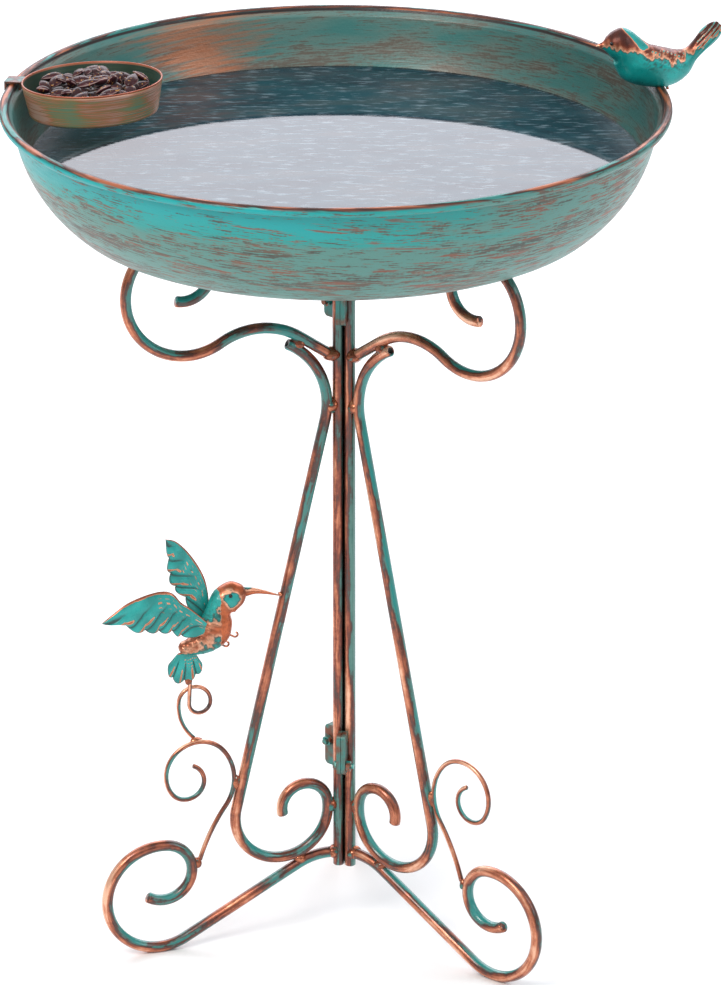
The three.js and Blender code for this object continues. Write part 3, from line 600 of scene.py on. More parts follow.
def split_paint(name, teal, copper, fleck):
    """Cast bird: verdigris and copper parted along a ragged line that the mask attribute gives.

    The mask runs from 0, verdigris, to 1, copper; noise of 4 mm breaks its edge, a pale painted
    highlight follows it, and dark brown base coat shows in the hollows.
    """
    material, tree, shader = new_material(name)
    place = add(tree, "TexCoord", output="Object")
    mask = add(tree, "Attribute", attribute_name="mask", output="Fac")
    hollow = add(tree, "Attribute", attribute_name="hollow", output="Fac")
    ragged = add(tree, "TexNoise", {"Vector": place, "Scale": per_metre(3.85), "Detail": 3.0})
    broad = add(tree, "TexNoise", {"Vector": place, "Scale": per_metre(11.1), "Detail": 2.0})
    edge = add(tree, "Math", {0: ragged, 1: fleck, 2: mask}, operation="MULTIPLY_ADD")
    wandering = add(tree, "Math", {0: broad, 1: 0.5, 2: edge}, operation="MULTIPLY_ADD")
    moved = add(tree, "Math", {0: wandering, 1: fleck / 2 + 0.25}, operation="SUBTRACT")
    # the pale stops just past the verdigris are a painted highlight along the edge
    colour = add(tree, "ValToRGB", {0: moved}, stops=[
        (0.38, teal), (0.44, "#2f5a52"), (0.49, "#f0b090"), (0.55, "#dd9a78"),
        (0.63, "#b0664a"), (0.74, copper), (1.0, "#4a2a24"),
    ])
    tone = add(tree, "MapRange", {0: broad, 1: 0.35, 2: 0.65, 3: 0.72, 4: 1.12})
    toned = add(tree, "VectorMath", {0: colour, "Scale": tone}, operation="SCALE")
    dark = add(tree, "Mix", {0: hollow, 6: toned, 7: linear("#2b1c18")}, data_type="RGBA", output=2)
    metal = add(tree, "MapRange", {0: moved, 1: 0.44, 2: 0.55, 3: 0.1, 4: 0.6})
    rough = add(tree, "MapRange", {0: ragged, 1: 0.3, 2: 0.7, 3: 0.22, 4: 0.40})
    finish_shader(tree, shader, dark, metal, rough, ragged, 0.10)
    return material


def seed_husk():
    """Dried seed husk: dark purple brown and glossy, with thin paler edges and a few golden ones."""
    material, tree, shader = new_material("sunflower_seed_husk")
    edge = add(tree, "Attribute", attribute_name="edge", output="Fac")
    place = add(tree, "TexCoord", output="Object")
    grain = add(tree, "TexNoise", {"Vector": place, "Scale": per_metre(1.43), "Detail": 2.0})
    spots = add(tree, "TexNoise", {"Vector": place, "Scale": per_metre(1.92), "Detail": 1.0})
    value = add(tree, "Math", {0: grain, 1: 0.3, 2: edge}, operation="MULTIPLY_ADD")
    husk = add(tree, "ValToRGB", {0: value}, stops=[
        (0.15, "#341418"), (0.60, "#4a1f26"), (0.95, "#70464a"), (1.0, "#b8a29e"),
    ])
    gold = add(tree, "MapRange", {0: spots, 1: 0.64, 2: 0.70, 3: 0.0, 4: 0.8})
    colour = add(tree, "Mix", {0: gold, 6: husk, 7: linear("#c08a4a")}, data_type="RGBA", output=2)
    bump = add(tree, "Bump", {"Strength": 1.0, "Distance": 0.1 * MM, "Height": grain})
    tree.links.new(colour, shader.inputs["Base Color"])
    tree.links.new(bump, shader.inputs["Normal"])
    shader.inputs["Roughness"].default_value = 0.3
    shader.inputs["Specular IOR Level"].default_value = 0.25
    return material


def floor_card():
    """Matt white paper sweep, faintly mottled as paper is."""
    material, tree, shader = new_material("matt_white_paper")
    place = add(tree, "TexCoord", output="Object")
    pulp = add(tree, "TexNoise", {"Vector": place, "Scale": per_metre(333), "Detail": 2.0})
    colour = add(tree, "ValToRGB", {0: pulp}, stops=[(0.3, "#f6f6f6"), (0.7, "#fafafa")])
    tree.links.new(colour, shader.inputs["Base Color"])
    shader.inputs["Roughness"].default_value = 0.9
    shader.inputs["Specular IOR Level"].default_value = 0.1
    return material


ROD_PAINT = brushed_wire_paint(
    "verdigris_paint_dry_brushed_with_copper", 0.0, "#1f847f", "#97523a", (32, 32, 32))
POLE_PAINT = brushed_wire_paint("worn_verdigris_on_pole_rods", 0.0, "#54857c", "#84402e", (16, 16, 60))
FILLER_PAINT = brushed_wire_paint("copper_paint_on_thin_wire", 0.04, "#2b8a84", "#8f4d36", (24, 24, 24))
WELD_METAL = plain_paint(
    "copper_rubbed_weld", [(0.35, "#3f7f78"), (0.45, "#7f4230"), (0.7, "#d88a66")], 5, 0.8, 0.2, 0.15)
PLATE_PAINT = plain_paint(
    "verdigris_paint_on_plate", [(0.38, "#3c857e"), (0.5, "#5a6a60"), (0.6, "#7a4a38")], 9, 0.3, 0.36, 0.1)
FASTENER_PAINT = plain_paint(
    "verdigris_paint_on_fastener", [(0.35, "#1f918a"), (0.5, "#4f7f76"), (0.62, "#8a5340")],
    4, 0.4, 0.32, 0.08)
HOOK_PAINT = plain_paint(
    "verdigris_paint_on_strap", [(0.42, "#2a6a64"), (0.52, "#33261f"), (0.64, "#6a3c2c")], 7, 0.3, 0.34, 0.1)
SONGBIRD_PAINT = split_paint("songbird_verdigris_and_copper_glaze", "#0c9a95", "#74392a", 0.35)
HUMMINGBIRD_PAINT = split_paint("hummingbird_verdigris_and_copper_glaze", "#279f98", "#c4683f", 0.42)
WING_PAINT = split_paint("feathered_verdigris_and_copper", "#279e98", "#a85c40", 0.40)
BASIN_PAINT = basin_paint()
CUP_PAINT = cup_paint()
WATER = water_surface()
EYE = plain_paint("glossy_black_eye_enamel", [(0.4, "#0c0c0e"), (0.6, "#1a1a1e")], 2, 0.0, 0.08, 0.01)
SEED = seed_husk()


# ---------------------------------------------------------------- basin, water
def arc(centre, radius, start, stop, count):
    """Points on an arc, evenly spaced by angle."""
    return np.asarray(centre) + radius * direction(np.linspace(start, stop, count))


def dish_face(inset):
    """One face of the dish: the heel's arc, the side's arc and the straight wall up to the bead."""
    slope = HEEL_SLOPE - 90
    heel_centre = np.array([FLOOR_RADIUS, HEEL_RADIUS])
    side_centre = heel_centre + (HEEL_RADIUS - SIDE_RADIUS) * direction(slope)
    heel = arc(heel_centre, HEEL_RADIUS - inset, -90, slope, 10)
    side = arc(side_centre, SIDE_RADIUS - inset, slope, -WALL_LEAN, 24)[1:]
    under = BEAD_CENTRE[1] - BEAD_RADIUS - side[-1, 1]
    share = np.append(np.linspace(0, 1, 8)[1:-1], [0.965, 1.0])
    rise = share[:, None] * [under * math.tan(math.radians(WALL_LEAN)), under]
    return np.concatenate([heel, side, side[-1] + rise])


def basin():
    """The basin: its profile of flat floor, heel, side, wall, rolled bead and the shoulder inside it,
    turned about the axis."""
    flat = np.linspace(0.5, FLOOR_RADIUS, 12)[:-1, None]
    outer = np.concatenate([flat * [1, 0], dish_face(0)])
    bead = arc(BEAD_CENTRE, BEAD_RADIUS, -150, 165, 26)
    inner = np.concatenate([flat * [1, 0] + [0, BASIN_WALL], dish_face(BASIN_WALL)])[::-1]
    shoulder = bead[-1] + np.array([0.1, 0.25, 0.5, 0.75])[:, None] * (inner[0] - bead[-1])
    profile = np.concatenate([outer, bead, shoulder, inner])
    across = np.concatenate([[0], np.cumsum(np.hypot(*np.diff(profile, axis=0).T))])
    top = np.clip((bead[:, 1] - BEAD_CENTRE[1] - 0.25 * BEAD_RADIUS) / (0.35 * BEAD_RADIUS), 0, 1)
    first, last = len(outer), len(outer) + len(bead)
    zone = np.zeros((len(profile), 3))
    zone[:last, 0] = 1
    zone[first:last, 1] = top
    zone[last:, 2] = 1
    # painted shade in the creases where the bead meets the outer wall and the shoulder inside
    crease_shade = np.zeros(len(profile))
    crease_shade[first] = 0.7
    crease_shade[last - 2:last + 1] = 1.0
    columns = 320
    grid = revolved(profile, columns) + [0, 0, SEAT_HEIGHT]
    attributes = {"across": across, "zone": zone, "crease_shade": crease_shade}
    spread = {key: np.repeat(values, columns, axis=0) for key, values in attributes.items()}
    mesh_piece("basin_fine", grid.reshape(-1, 3), capped(grid), BASIN_PAINT, "basin",
               ("basin",), spread)


def water():
    """The water: a flat top with a rising edge, and an underside a little clear of the dish's face."""
    climb, reach = MENISCUS
    face = dish_face(BASIN_WALL + WATER_GAP)
    wet = face[face[:, 1] < WATER_LEVEL]
    edge = np.interp(WATER_LEVEL + climb, face[:, 1], face[:, 0])
    radius = np.linspace(0, 1, 60)[:0:-1] ** 0.7 * edge
    top = np.stack([radius, WATER_LEVEL + climb * np.exp(-(edge - radius) / reach)], -1)
    floor = np.linspace(0.5, FLOOR_RADIUS, 6)[:-1, None] * [1, 0] + [0, BASIN_WALL + WATER_GAP]
    grid = revolved(np.concatenate([floor, wet, top]), 240) + [0, 0, SEAT_HEIGHT]
    mesh_piece("water", grid.reshape(-1, 3), capped(grid), WATER, "basin")


# ---------------------------------------------------------------- seed cup and seeds
def cup_place(points):
    """From the cup's own axis, its rim at height 0, to the row frame: tilted, moved out and turned."""
    about_x = turn_about(np.radians([CUP_PITCH]), 0)[0]
    about_y = turn_about(np.radians([CUP_ROLL]), 1)[0]
    tilted = np.asarray(points) @ about_x.T @ about_y.T
    return turned(tilted + [CUP_CENTRE, 0, BEAD_CENTRE[1] + CUP_OVER_BEAD], CUP_ANGLE) + [0, 0, SEAT_HEIGHT]


def seed_cup():
    """The cup: a flat bottom, a wall leaning out and a rolled lip, turned about its axis."""
    corner_centre = (CUP_BOTTOM_RADIUS - CUP_CORNER, CUP_CORNER - CUP_HEIGHT)
    flat = np.linspace(0.4, corner_centre[0], 8)[:, None]
    corner = arc(corner_centre, CUP_CORNER, -90, -8, 7)[1:]
    inner_corner = arc(corner_centre, CUP_CORNER - CUP_WALL, -90, -8, 7)[1:]
    rise = np.linspace(0, 1, 12)[1:, None]
    wall_top = np.array([CUP_RADIUS - CUP_LIP, -CUP_LIP])
    outer = corner[-1] + rise * (wall_top + [0.5, -0.6] - corner[-1])
    rolled = arc(wall_top, CUP_LIP, -50, 170, 10)
    inner = inner_corner[-1] + rise * (wall_top + [-0.7, -1.0] - inner_corner[-1])
    profile = np.concatenate([flat * [1, 0] + [0, -CUP_HEIGHT], corner, outer, rolled, inner[::-1],
                              inner_corner[::-1], (flat * [1, 0] + [0, CUP_WALL - CUP_HEIGHT])[::-1]])
    across = np.concatenate([[0], np.cumsum(np.hypot(*np.diff(profile, axis=0).T))])
    first = len(flat) + len(corner) + len(outer)
    zone = np.zeros((len(profile), 3))
    zone[:first, 0] = 1
    zone[first:first + len(rolled), 1] = 1
    zone[first + len(rolled):, 2] = 1
    columns = 160
    grid = revolved(profile, columns)
    attributes = {"across": across, "zone": zone}
    spread = {key: np.repeat(values, columns, axis=0) for key, values in attributes.items()}
    piece = mesh_piece("seed_cup_fine", cup_place(grid.reshape(-1, 3)), capped(grid), CUP_PAINT, "seed_cup",
                       ("seed_cup",), spread)
    piece.visible_glossy = False  # keeps the bright sky whole in the water's mirror


def turn_about(angles, axis):
    """One rotation matrix for each angle, about the axis of that number."""
    first, second = (axis + 1) % 3, (axis + 2) % 3
    matrix = np.zeros((len(angles), 3, 3))
    matrix[:, axis, axis] = 1
    matrix[:, first, first] = matrix[:, second, second] = np.cos(angles)
    matrix[:, second, first] = np.sin(angles)
    matrix[:, first, second] = -np.sin(angles)
    return matrix


def seeds():
    """A heap of seeds: each a pointed, flattened spindle, all laid at random by one seeded draw.

    A seed's half width is the sine of its lengthwise angle, drawn in at the pointed end, and half as
    thick. The heap's height falls off with the square of the distance from the cup's middle.
    """
    rng = np.random.default_rng(7)
    rings, sides, count = 9, 10, SEED_COUNT
    long, wide, thick = SEED_SIZE
    s = np.linspace(0.04, 0.96, rings)
    width = np.sin(np.pi * s) ** 0.75 * (1.15 - 0.5 * s)
    angle = np.arange(sides) * 2 * np.pi / sides
    one = np.stack(np.broadcast_arrays((s[:, None] - 0.5) * long, width[:, None] * wide * np.cos(angle),
                                       width[:, None] * thick * np.sin(angle)), -1)
    edge = np.broadcast_to(np.abs(np.cos(angle)) ** 9, one.shape[:2])
    around = rng.uniform(0, 2 * np.pi, count)
    share = np.sqrt(rng.uniform(0, 1, count))
    out = share * (CUP_BOTTOM_RADIUS - SEED_MARGIN)
    layer = np.arange(count) / count
    height = -CUP_HEIGHT + HEAP_START + layer * (HEAP_HEIGHT - HEAP_DROP * share ** 2)
    spin = rng.uniform(0, 2 * np.pi, count)
    tilt = rng.normal(0, 0.30, count) * (0.6 + 0.8 * layer)
    lean = rng.normal(0, 0.35, count)
    spins, tilts, leans = turn_about(spin, 2), turn_about(tilt, 1), turn_about(lean, 0)
    scale = rng.uniform(0.85, 1.12, count)[:, None, None, None]
    turned_seeds = np.einsum("nij,rsj->nrsi", spins @ tilts @ leans, one) * scale
    centre = np.stack([out * np.cos(around), out * np.sin(around), height], -1)
    points = turned_seeds + centre[:, None, None, :]
    each = capped(one)
    size = rings * sides
    faces = [[v + k * size for v in face] for k in range(count) for face in each]
    piece = mesh_piece("seeds", cup_place(points.reshape(-1, 3)), faces, SEED, "seed_cup",
                       attributes={"edge": np.tile(edge.ravel(), count)})
    piece.visible_glossy = False


# ---------------------------------------------------------------- legs
def wire_piece(name, route, radius, sides, material, leg, drift=(0.0, 0.0), bore=0.0,
               seam=0.0):
    """Lays a wire in a leg's plane and makes it a piece; nothing reaches below the ground.

    The paint gets how far each point faces out of the plane, lies outside its bend, and faces the key
    light's side, and it gets painted shade: near black in the bores and, on the pole, in the seam between
    the rods.
    """
    grid, facing, run, outer, hollow = wire(route, radius, sides, drift, bore)
    points = in_leg(grid.reshape(-1, 3), leg)
    points[:, 2] = np.maximum(points[:, 2], 0)
    # how far each point faces the key light's side: the copper it adds is painted light
    brushed = facing[..., :2] @ direction(KEY_LIGHT_SIDE - LEGS[leg][1])
    lay = np.stack([np.abs(facing[..., 1]), outer, brushed], -1)
    inward = -facing[..., :2] @ direction(LEGS[leg][0] - LEGS[leg][1])
    # painted shade in the bore recesses and on the faces that turn in towards the pole's axis
    shade = np.maximum(hollow, seam * np.clip((inward - 0.1) / 0.4, 0, 1))
    mesh_piece(name + "_fine", points, capped(grid), material, "stand", (name,),
               {"run": run.reshape(-1, 3), "lay": lay.reshape(-1, 3), "shade": shade.ravel()})


def pole_rod(leg):
    """A straight upright rod: a circle carried up from the pole's foot to under the basin."""
    length = SEAT_HEIGHT - POLE_TOP_GAP - POLE_BOTTOM
    route = bent_route((rod_centre, POLE_BOTTOM), 90, [(length, 0)], 4.0)
    wire_piece(f"{leg}_pole_rod", route, rod_radius, 28, POLE_PAINT, leg, seam=0.96)


def legs():
    """Every leg's rod and four scrolls."""
    arm, foot = arm_route(), foot_route()
    strut, loop_centre, lean = strut_route(arm, foot)
    filler = filler_route(foot, loop_centre, lean)
    for leg in LEGS:
        pole_rod(leg)
        for label, route, bore in (("arm", arm, 0.0), ("strut", strut, ROD_BORE), ("foot", foot, 0.0)):
            wire_piece(f"{leg}_{label}_scroll", route, rod_radius, 28, ROD_PAINT, leg, bore=bore)
        wire_piece(f"{leg}_filler_scroll", filler, FILLER_DIAMETER / 2, 18, FILLER_PAINT, leg)


def lumpy_ball(centre, size, seed):
    """A sphere stretched to a size, with a radius made lumpy by a few low sine waves if it has a seed."""
    rings, sides = 22, 28
    down = np.linspace(0.03, np.pi - 0.03, rings)[:, None]
    around = np.arange(sides) * 2 * np.pi / sides
    lump = np.ones((rings, sides))
    if seed is not None:
        phase = np.random.default_rng(seed).uniform(0, 2 * np.pi, 2)
        lump = lump + 0.08 * np.sin(2 * around + phase[0]) * np.sin(down)
        lump = lump + 0.07 * np.sin(3 * down + phase[1] + around)
    across = np.sin(down) * np.cos(around)
    ball = np.stack([across, np.sin(down) * np.sin(around), np.cos(down) + 0 * around], -1)
    return (ball * lump[..., None] * np.asarray(size) / 2)[::-1] + np.asarray(centre)


def weld(name, leg, place, size, seed, side=0.0):
    """A weld bead on a leg, at a place out and up in its plane."""
    points = lumpy_ball((place[0], side, place[1]), size, seed)
    mesh_piece(name, in_leg(points.reshape(-1, 3), leg), capped(points), WELD_METAL, "stand")


WELDS = {  # out and up in the leg's plane, then length out, thickness and height
    "arm_to_pole": ((8.4, 385.2), (11.0, 9.6, 9.0)),
    "strut_to_arm": ((30.3, 395.2), (9.0, 8.0, 7.5)),
    "strut_to_pole": ((8.6, 352.0), (8.5, 9.6, 10.5)),
    "curl_to_pole": ((9.3, 84.0), (7.5, 8.6, 10.0)),
    "foot_to_pole": ((7.8, 51.7), (8.5, 9.0, 8.5)),
    "strut_to_foot": ((30.0, 50.4), (10.0, 8.0, 6.0)),
    "filler_to_strut": ((72.0, 108.0), (5.0, 5.0, 11.0)),
    "filler_to_foot": ((97.7, 57.2), (5.5, 5.4, 7.0)),
}


def welds():
    """The weld beads that hold each leg together."""
    for index, leg in enumerate(LEGS):
        for number, (label, (place, size)) in enumerate(WELDS.items()):
            weld(f"{leg}_weld_{label}", leg, place, size, 100 * index + number)
    weld("hummingbird_weld_wire_to_filler", "left", (97.3, 139.6), (8.0, 5.4, 4.2), 900, -1.5)
    weld("hummingbird_weld_beak_to_strut", "left", (42.8, 232.0), (2.6, 3.6, 2.6), 901, 1.4)
    weld("hummingbird_weld_tail_to_wire", "left", (103.2, 182.6), (4.4, 4.2, 5.0), 902, HUMMINGBIRD_SIDE)


# ---------------------------------------------------------------- birds
def lofted(rows, samples, sides):
    """A body skinned over a smooth row of rings: along it, each ring is an ellipse square to the row's
    heading. Rows hold out, up, heading, half height and half width. Returns the grid and the angles."""
    table = smooth_rows(rows, samples)
    angle = np.arange(sides) * 2 * np.pi / sides
    up = direction(table[:, 2] + 90)
    middle = np.stack([table[:, 0], np.zeros(samples), table[:, 1]], -1)
    upright = np.stack([up[:, 0], np.zeros(samples), up[:, 1]], -1)
    tall = (table[:, 3:4] * np.cos(angle))[..., None] * upright[:, None]
    wide = (table[:, 4:5] * np.sin(angle))[..., None] * [0.0, 1.0, 0.0]
    return middle[:, None] + tall + wide, np.broadcast_to(angle, (samples, sides))


SONGBIRD_ROWS = [
    (-40, 25.4, 0, 0.3, 0.3), (-37.5, 25.6, 0, 1.4, 1.2), (-35.2, 25.8, 0, 2.6, 2.3),
    (-33.2, 26, 0, 4.8, 4.4), (-30, 26.2, -5, 8, 7.2), (-25, 25.6, -15, 10.7, 9.2),
    (-20.5, 20.9, -42, 11.5, 9.6), (-14.5, 14.2, -40, 13.4, 11.6), (-5, 11.0, -15, 12.8, 12.4),
    (5, 10.0, 2, 11.6, 11.6), (13, 12.4, 25, 8.8, 8.8), (19, 17.0, 40, 5.0, 5.8),
    (24, 22, 46, 4.9, 5.0), (30, 28.5, 46, 5.8, 4.4), (34.5, 32.8, 46, 5.0, 3.2),
    (37, 35.2, 46, 2.6, 1.8),
]


def on_rim(points):
    """From the songbird's own place, x outwards from the bead's centre, to the row frame."""
    moved = turned(np.asarray(points) + [BEAD_CENTRE[0], 0, 0], SONGBIRD_ANGLE)
    return moved + [0, 0, SEAT_HEIGHT + BEAD_CENTRE[1]]


def songbird():
    """The songbird: a lofted body raised along its folded wings and fluted along its tail.

    The wing stands out as a rounded patch crossed by slanting feather lines, with chips of verdigris and
    dark flecks. The ragged line between the verdigris below and the copper above runs level at the beak
    and drops towards the tail, and a slanting verdigris stripe crosses the nape.
    """
    grid, angle = lofted(SONGBIRD_ROWS, 150, 72)
    x, z = grid[..., 0].copy(), grid[..., 2].copy()
    outward = np.sign(np.sin(angle))
    wing = np.exp(-((x - 1) / 15) ** 4) * np.exp(-((z - 16.5 + 0.1 * x) / 5.5) ** 4)
    wing = wing * (np.abs(np.sin(angle)) > 0.3)
    feathers = np.abs(np.sin(0.42 * x + 0.75 * z))
    grid[..., 1] += outward * wing * (1.1 - 0.45 * (1 - feathers))
    tail = np.clip((x - 20) / 6, 0, 1)
    across_tail = z - x
    flute = np.cos(across_tail * 1.9)
    grid[..., 1] += outward * tail * 0.35 * flute
    grid[..., 2] += BEAD_RADIUS + GAP
    ripple = 0.9 * np.sin(0.9 * x) + 0.5 * np.sin(2.1 * x + 1) + 0.7 * np.sin(0.4 * x + 2)
    boundary = np.interp(x, [-34, -24, -12, 0, 12, 24, 36], [25.5, 25.0, 21.5, 18.0, 16.0, 22.0, 31]) + ripple
    mask = np.clip(0.5 + (z - boundary) / 13.0, 0, 1)
    nape = np.clip(1.6 - np.abs(x + 13 + 0.9 * (z - 27)) / 2.6, 0, 1) * np.clip((z - 23) / 2, 0, 1)
    mask = mask - 0.9 * nape * (x < 4)
    chips = wing * (np.sin(1.7 * x + z) * np.sin(2.3 * z - 0.6 * x) > 0.45)
    mask = np.where((chips > 0.4) & (z > boundary + 1.5), 0.3, mask)
    mask = np.where((x > 22) & (flute > 0.75), 0.2, mask)
    hollow = 0.75 * wing * (feathers < 0.22) + 0.5 * tail * (flute < -0.7)
    hollow = np.clip(hollow + 0.6 * wing * (np.sin(3.1 * x) * np.sin(2.7 * z) > 0.5), 0, 1)
    mesh_piece("songbird_body_fine", on_rim(grid.reshape(-1, 3)), capped(grid), SONGBIRD_PAINT, "basin",
               ("songbird_body",), {"mask": mask.ravel(), "hollow": hollow.ravel()})
    for side in (-1, 1):
        bead_eye(f"songbird_eye_{'near' if side < 0 else 'far'}", (-31.6, side * 6.2, 31.6), 1.1, "basin",
                 on_rim)
    seat = lumpy_ball((0.4, 0, BEAD_RADIUS + 1.4), (13.0, 9.0, 4.6), 77)
    mesh_piece("songbird_weld_to_rim", on_rim(seat.reshape(-1, 3)), capped(seat), WELD_METAL, "basin")


HUMMINGBIRD_ROWS = [
    (65.6, 236.4, 0, 1.4, 1.4), (67.0, 236.2, 0, 4.6, 4.2), (69.2, 235.9, 0, 7, 6.4),
    (74.6, 235.2, -8, 9.7, 8.6), (80.2, 232.2, -40, 9.0, 8), (83.0, 227.6, -66, 7.9, 7.2),
    (84.3, 220.7, -75, 9.8, 8.6), (87.0, 213.0, -62, 10.7, 9), (93.0, 207.8, -40, 8.4, 7.6),
    (100.0, 205.6, -15, 5.9, 5.6), (106.0, 205.3, 0, 4.0, 4.1), (108.2, 205.3, 0, 2.8, 2.9),
    (109.2, 205.3, 0, 1.1, 1.1),
]
BEAK_ROWS = [
    (68.2, 237.4, 175, 3.7, 3.5), (65.6, 237.2, 175, 3.0, 2.8), (60.0, 237.0, 170, 2.1, 2.0),
    (53.0, 235.2, 164, 1.4, 1.4), (44.3, 232.1, 158, 0.6, 0.6),
]


def hummingbird_body():
    """The hummingbird's body: a lofted skin with small scales of feathers over the chest and back."""
    grid, angle = lofted(HUMMINGBIRD_ROWS, 130, 60)
    x, z = grid[..., 0].copy(), grid[..., 2].copy()
    scales = np.abs(np.sin(1.1 * x + 0.35 * z)) * np.abs(np.sin(0.9 * z - 0.3 * x))
    neck = np.clip((x - 80) / 4, 0, 1)
    grid[..., 1] += np.sign(np.sin(angle)) * 0.55 * scales * neck + HUMMINGBIRD_SIDE
    cheek = 0.12 + (np.hypot(x - 77, z - 236.5) - 1.5) / 9.5
    # the copper chest fades at its sides through the pale painted highlight stops
    chest = 0.68 - np.abs(z - 219 + 0.5 * (x - 84)) / 40
    mask = np.where(x < 84, np.clip(cheek, 0, 0.72), 0)
    mask = np.maximum(mask, np.clip(chest, 0, 0.85) * np.clip((x - 75) / 5, 0, 1) * (z < 233))
    mask = np.maximum(mask, np.clip((x - 94) / 8, 0, 0.62) * (z > 203))
    hollow = 0.35 * (scales < 0.06) * neck
    mesh_piece("hummingbird_body_fine", in_left_leg(grid.reshape(-1, 3)), capped(grid), HUMMINGBIRD_PAINT,
               "stand", ("hummingbird_body",),
               {"mask": mask.ravel(), "hollow": hollow.ravel()})
    beak, turn = lofted(BEAK_ROWS, 40, 20)
    beak[..., 1] += HUMMINGBIRD_SIDE
    mask = 0.68 + 0.2 * np.cos(turn)
    mesh_piece("hummingbird_beak_fine", in_left_leg(beak.reshape(-1, 3)), capped(beak), HUMMINGBIRD_PAINT,
               "stand", ("hummingbird_beak",),
               {"mask": mask.ravel(), "hollow": np.zeros(mask.size)})
    for side in (-1, 1):
        centre = (77.8, HUMMINGBIRD_SIDE + side * 7.3, 238.6)
        bead_eye(f"hummingbird_eye_{'near' if side > 0 else 'far'}", centre, 1.3, "stand", in_left_leg)


def bead_eye(name, centre, radius, body, placed):
    """A round eye: a small sphere set half into the head."""
    points = lumpy_ball(centre, (2 * radius,) * 3, None)
    mesh_piece(name, placed(points.reshape(-1, 3)), capped(points), EYE, body)


def feathered_plate(name, leading, trailing, tips, slant, side, bulge):
    """A wing or tail: between a leading and a trailing edge, ribbed with feathers that end in round tips.

    Along the span the edges are smooth curves; each feather slants from nearer the root at the leading
    edge out to its tip, which bows out as half a sine; its shaft is a low ridge and the line between two
    feathers is a groove. The plate's two faces stand a thickness apart and meet in a rounded edge.
    """
    span, rows = 150, 44
    lead, trail = smooth_rows(leading, span), smooth_rows(trailing, span)
    u = np.linspace(0, 1, span)[:, None]
    v = ((1 - np.cos(np.linspace(0, np.pi, rows))) / 2)[None]
    feather = np.interp(np.clip(u + slant * (1 - v), 0, 1), tips, np.arange(len(tips)))
    within = feather - np.floor(np.minimum(feather, len(tips) - 1.001))
    chord = trail - lead
    unit = chord / np.maximum(np.linalg.norm(chord, axis=1, keepdims=True), 1e-6)
    trail = trail + unit * (np.sin(np.pi * within[:, -1:]) ** 0.6 - 0.5) * 2.6
    flat = lead[:, None] + v[..., None] * (trail - lead)[:, None]
    reach = np.clip((v - 0.22) / 0.25, 0, 1)
    between = np.minimum(within, 1 - within)
    relief = (0.6 * np.sin(np.pi * within) - 0.8 * np.exp(-(between / 0.10) ** 2)) * reach
    swell = bulge * np.sin(np.pi * u) * np.sin(np.pi * v)
    edge = np.clip(np.minimum(v, 1 - v) * 14, 0, 1) ** 0.5 * np.clip(np.minimum(u, 1 - u) * 16, 0, 1) ** 0.5
    near = side + swell + (WING_THICKNESS / 2 + 0.8 * relief) * edge
    far = side + swell - WING_THICKNESS / 2 * edge
    top = np.stack([flat[..., 0], near, flat[..., 1]], -1)
    bottom = np.stack([flat[..., 0], far, flat[..., 1]], -1)
    loop = np.concatenate([top, bottom[:, ::-1]], axis=1)
    lead_band = np.clip(1.2 - v / 0.09, 0, 1)
    slash = np.clip(1 - np.abs(within - 0.34) / 0.24, 0, 1) * np.clip((v - 0.4) / 0.2, 0, 1)
    # painted glints: a row of pale dashes near the wing's root
    painted_glints = (v > 0.14) & (v < 0.5) & (u < 0.55) & (np.sin(55 * v) > 0.2) & (np.sin(70 * u + 9 * v) > -0.2)
    mask = np.maximum(np.maximum(0.8 * lead_band, 0.7 * slash), 0.5 * painted_glints)
    tip_line = np.clip((v - 0.95) / 0.03, 0, 1)
    hollow = np.clip(0.8 * np.exp(-(between / 0.06) ** 2) * reach + 0.7 * tip_line, 0, 0.85)
    both = {"mask": mask, "hollow": hollow}
    spread = {key: np.concatenate([values, values[:, ::-1]], 1).ravel() for key, values in both.items()}
    mesh_piece(f"{name}_fine", in_left_leg(loop.reshape(-1, 3)), capped(loop), WING_PAINT, "stand",
               (name,), spread)


def hummingbird_wings():
    """The near wing, the far wing and the fan tail."""
    near_lead = [(89, 219), (101.7, 231.7), (108.7, 237.4), (114.1, 244), (120.7, 246.4),
                 (130.7, 245.4), (143.1, 241.5), (153, 235.2), (159.9, 230.2)]
    near_trail = [(91, 213.4), (103.2, 214.7), (109.7, 215.4), (114.7, 218.7), (122.2, 219.8),
                 (129.7, 221.1), (138.7, 222.8), (148.7, 228.7), (159.3, 229.4)]
    feathered_plate("hummingbird_near_wing", near_lead, near_trail, [0, 0.24, 0.38, 0.52, 0.66, 0.82, 1.0],
                    0.3, HUMMINGBIRD_SIDE + WING_OFFSET, 1.5)
    far_lead = [(87, 222), (89.3, 242.3), (93.6, 254.3), (101.2, 266.3), (109, 274.3),
                 (115.7, 276.6)]
    far_trail = [(95, 219.5), (103.9, 236.3), (110.8, 245.3), (113.6, 255.3), (114, 265.3),
                 (115.4, 275.7)]
    feathered_plate("hummingbird_far_wing", far_lead, far_trail, [0, 0.2, 0.38, 0.56, 0.76, 1.0], 0.26,
                    HUMMINGBIRD_SIDE - WING_OFFSET, 1.0)
    tail_root = [(98.5, 200.7), (101.5, 202), (104.5, 202.5), (107.5, 202.4), (110, 201.7)]
    tail_tips = [(93.6, 192.2), (96.9, 186.8), (102.5, 183.4), (109.5, 182.9), (114.6, 187),
                 (116.6, 194.8)]
    feathered_plate("hummingbird_tail", tail_root, tail_tips, [0, 0.25, 0.5, 0.75, 1.0], 0.0,
                    HUMMINGBIRD_SIDE, 0.6)


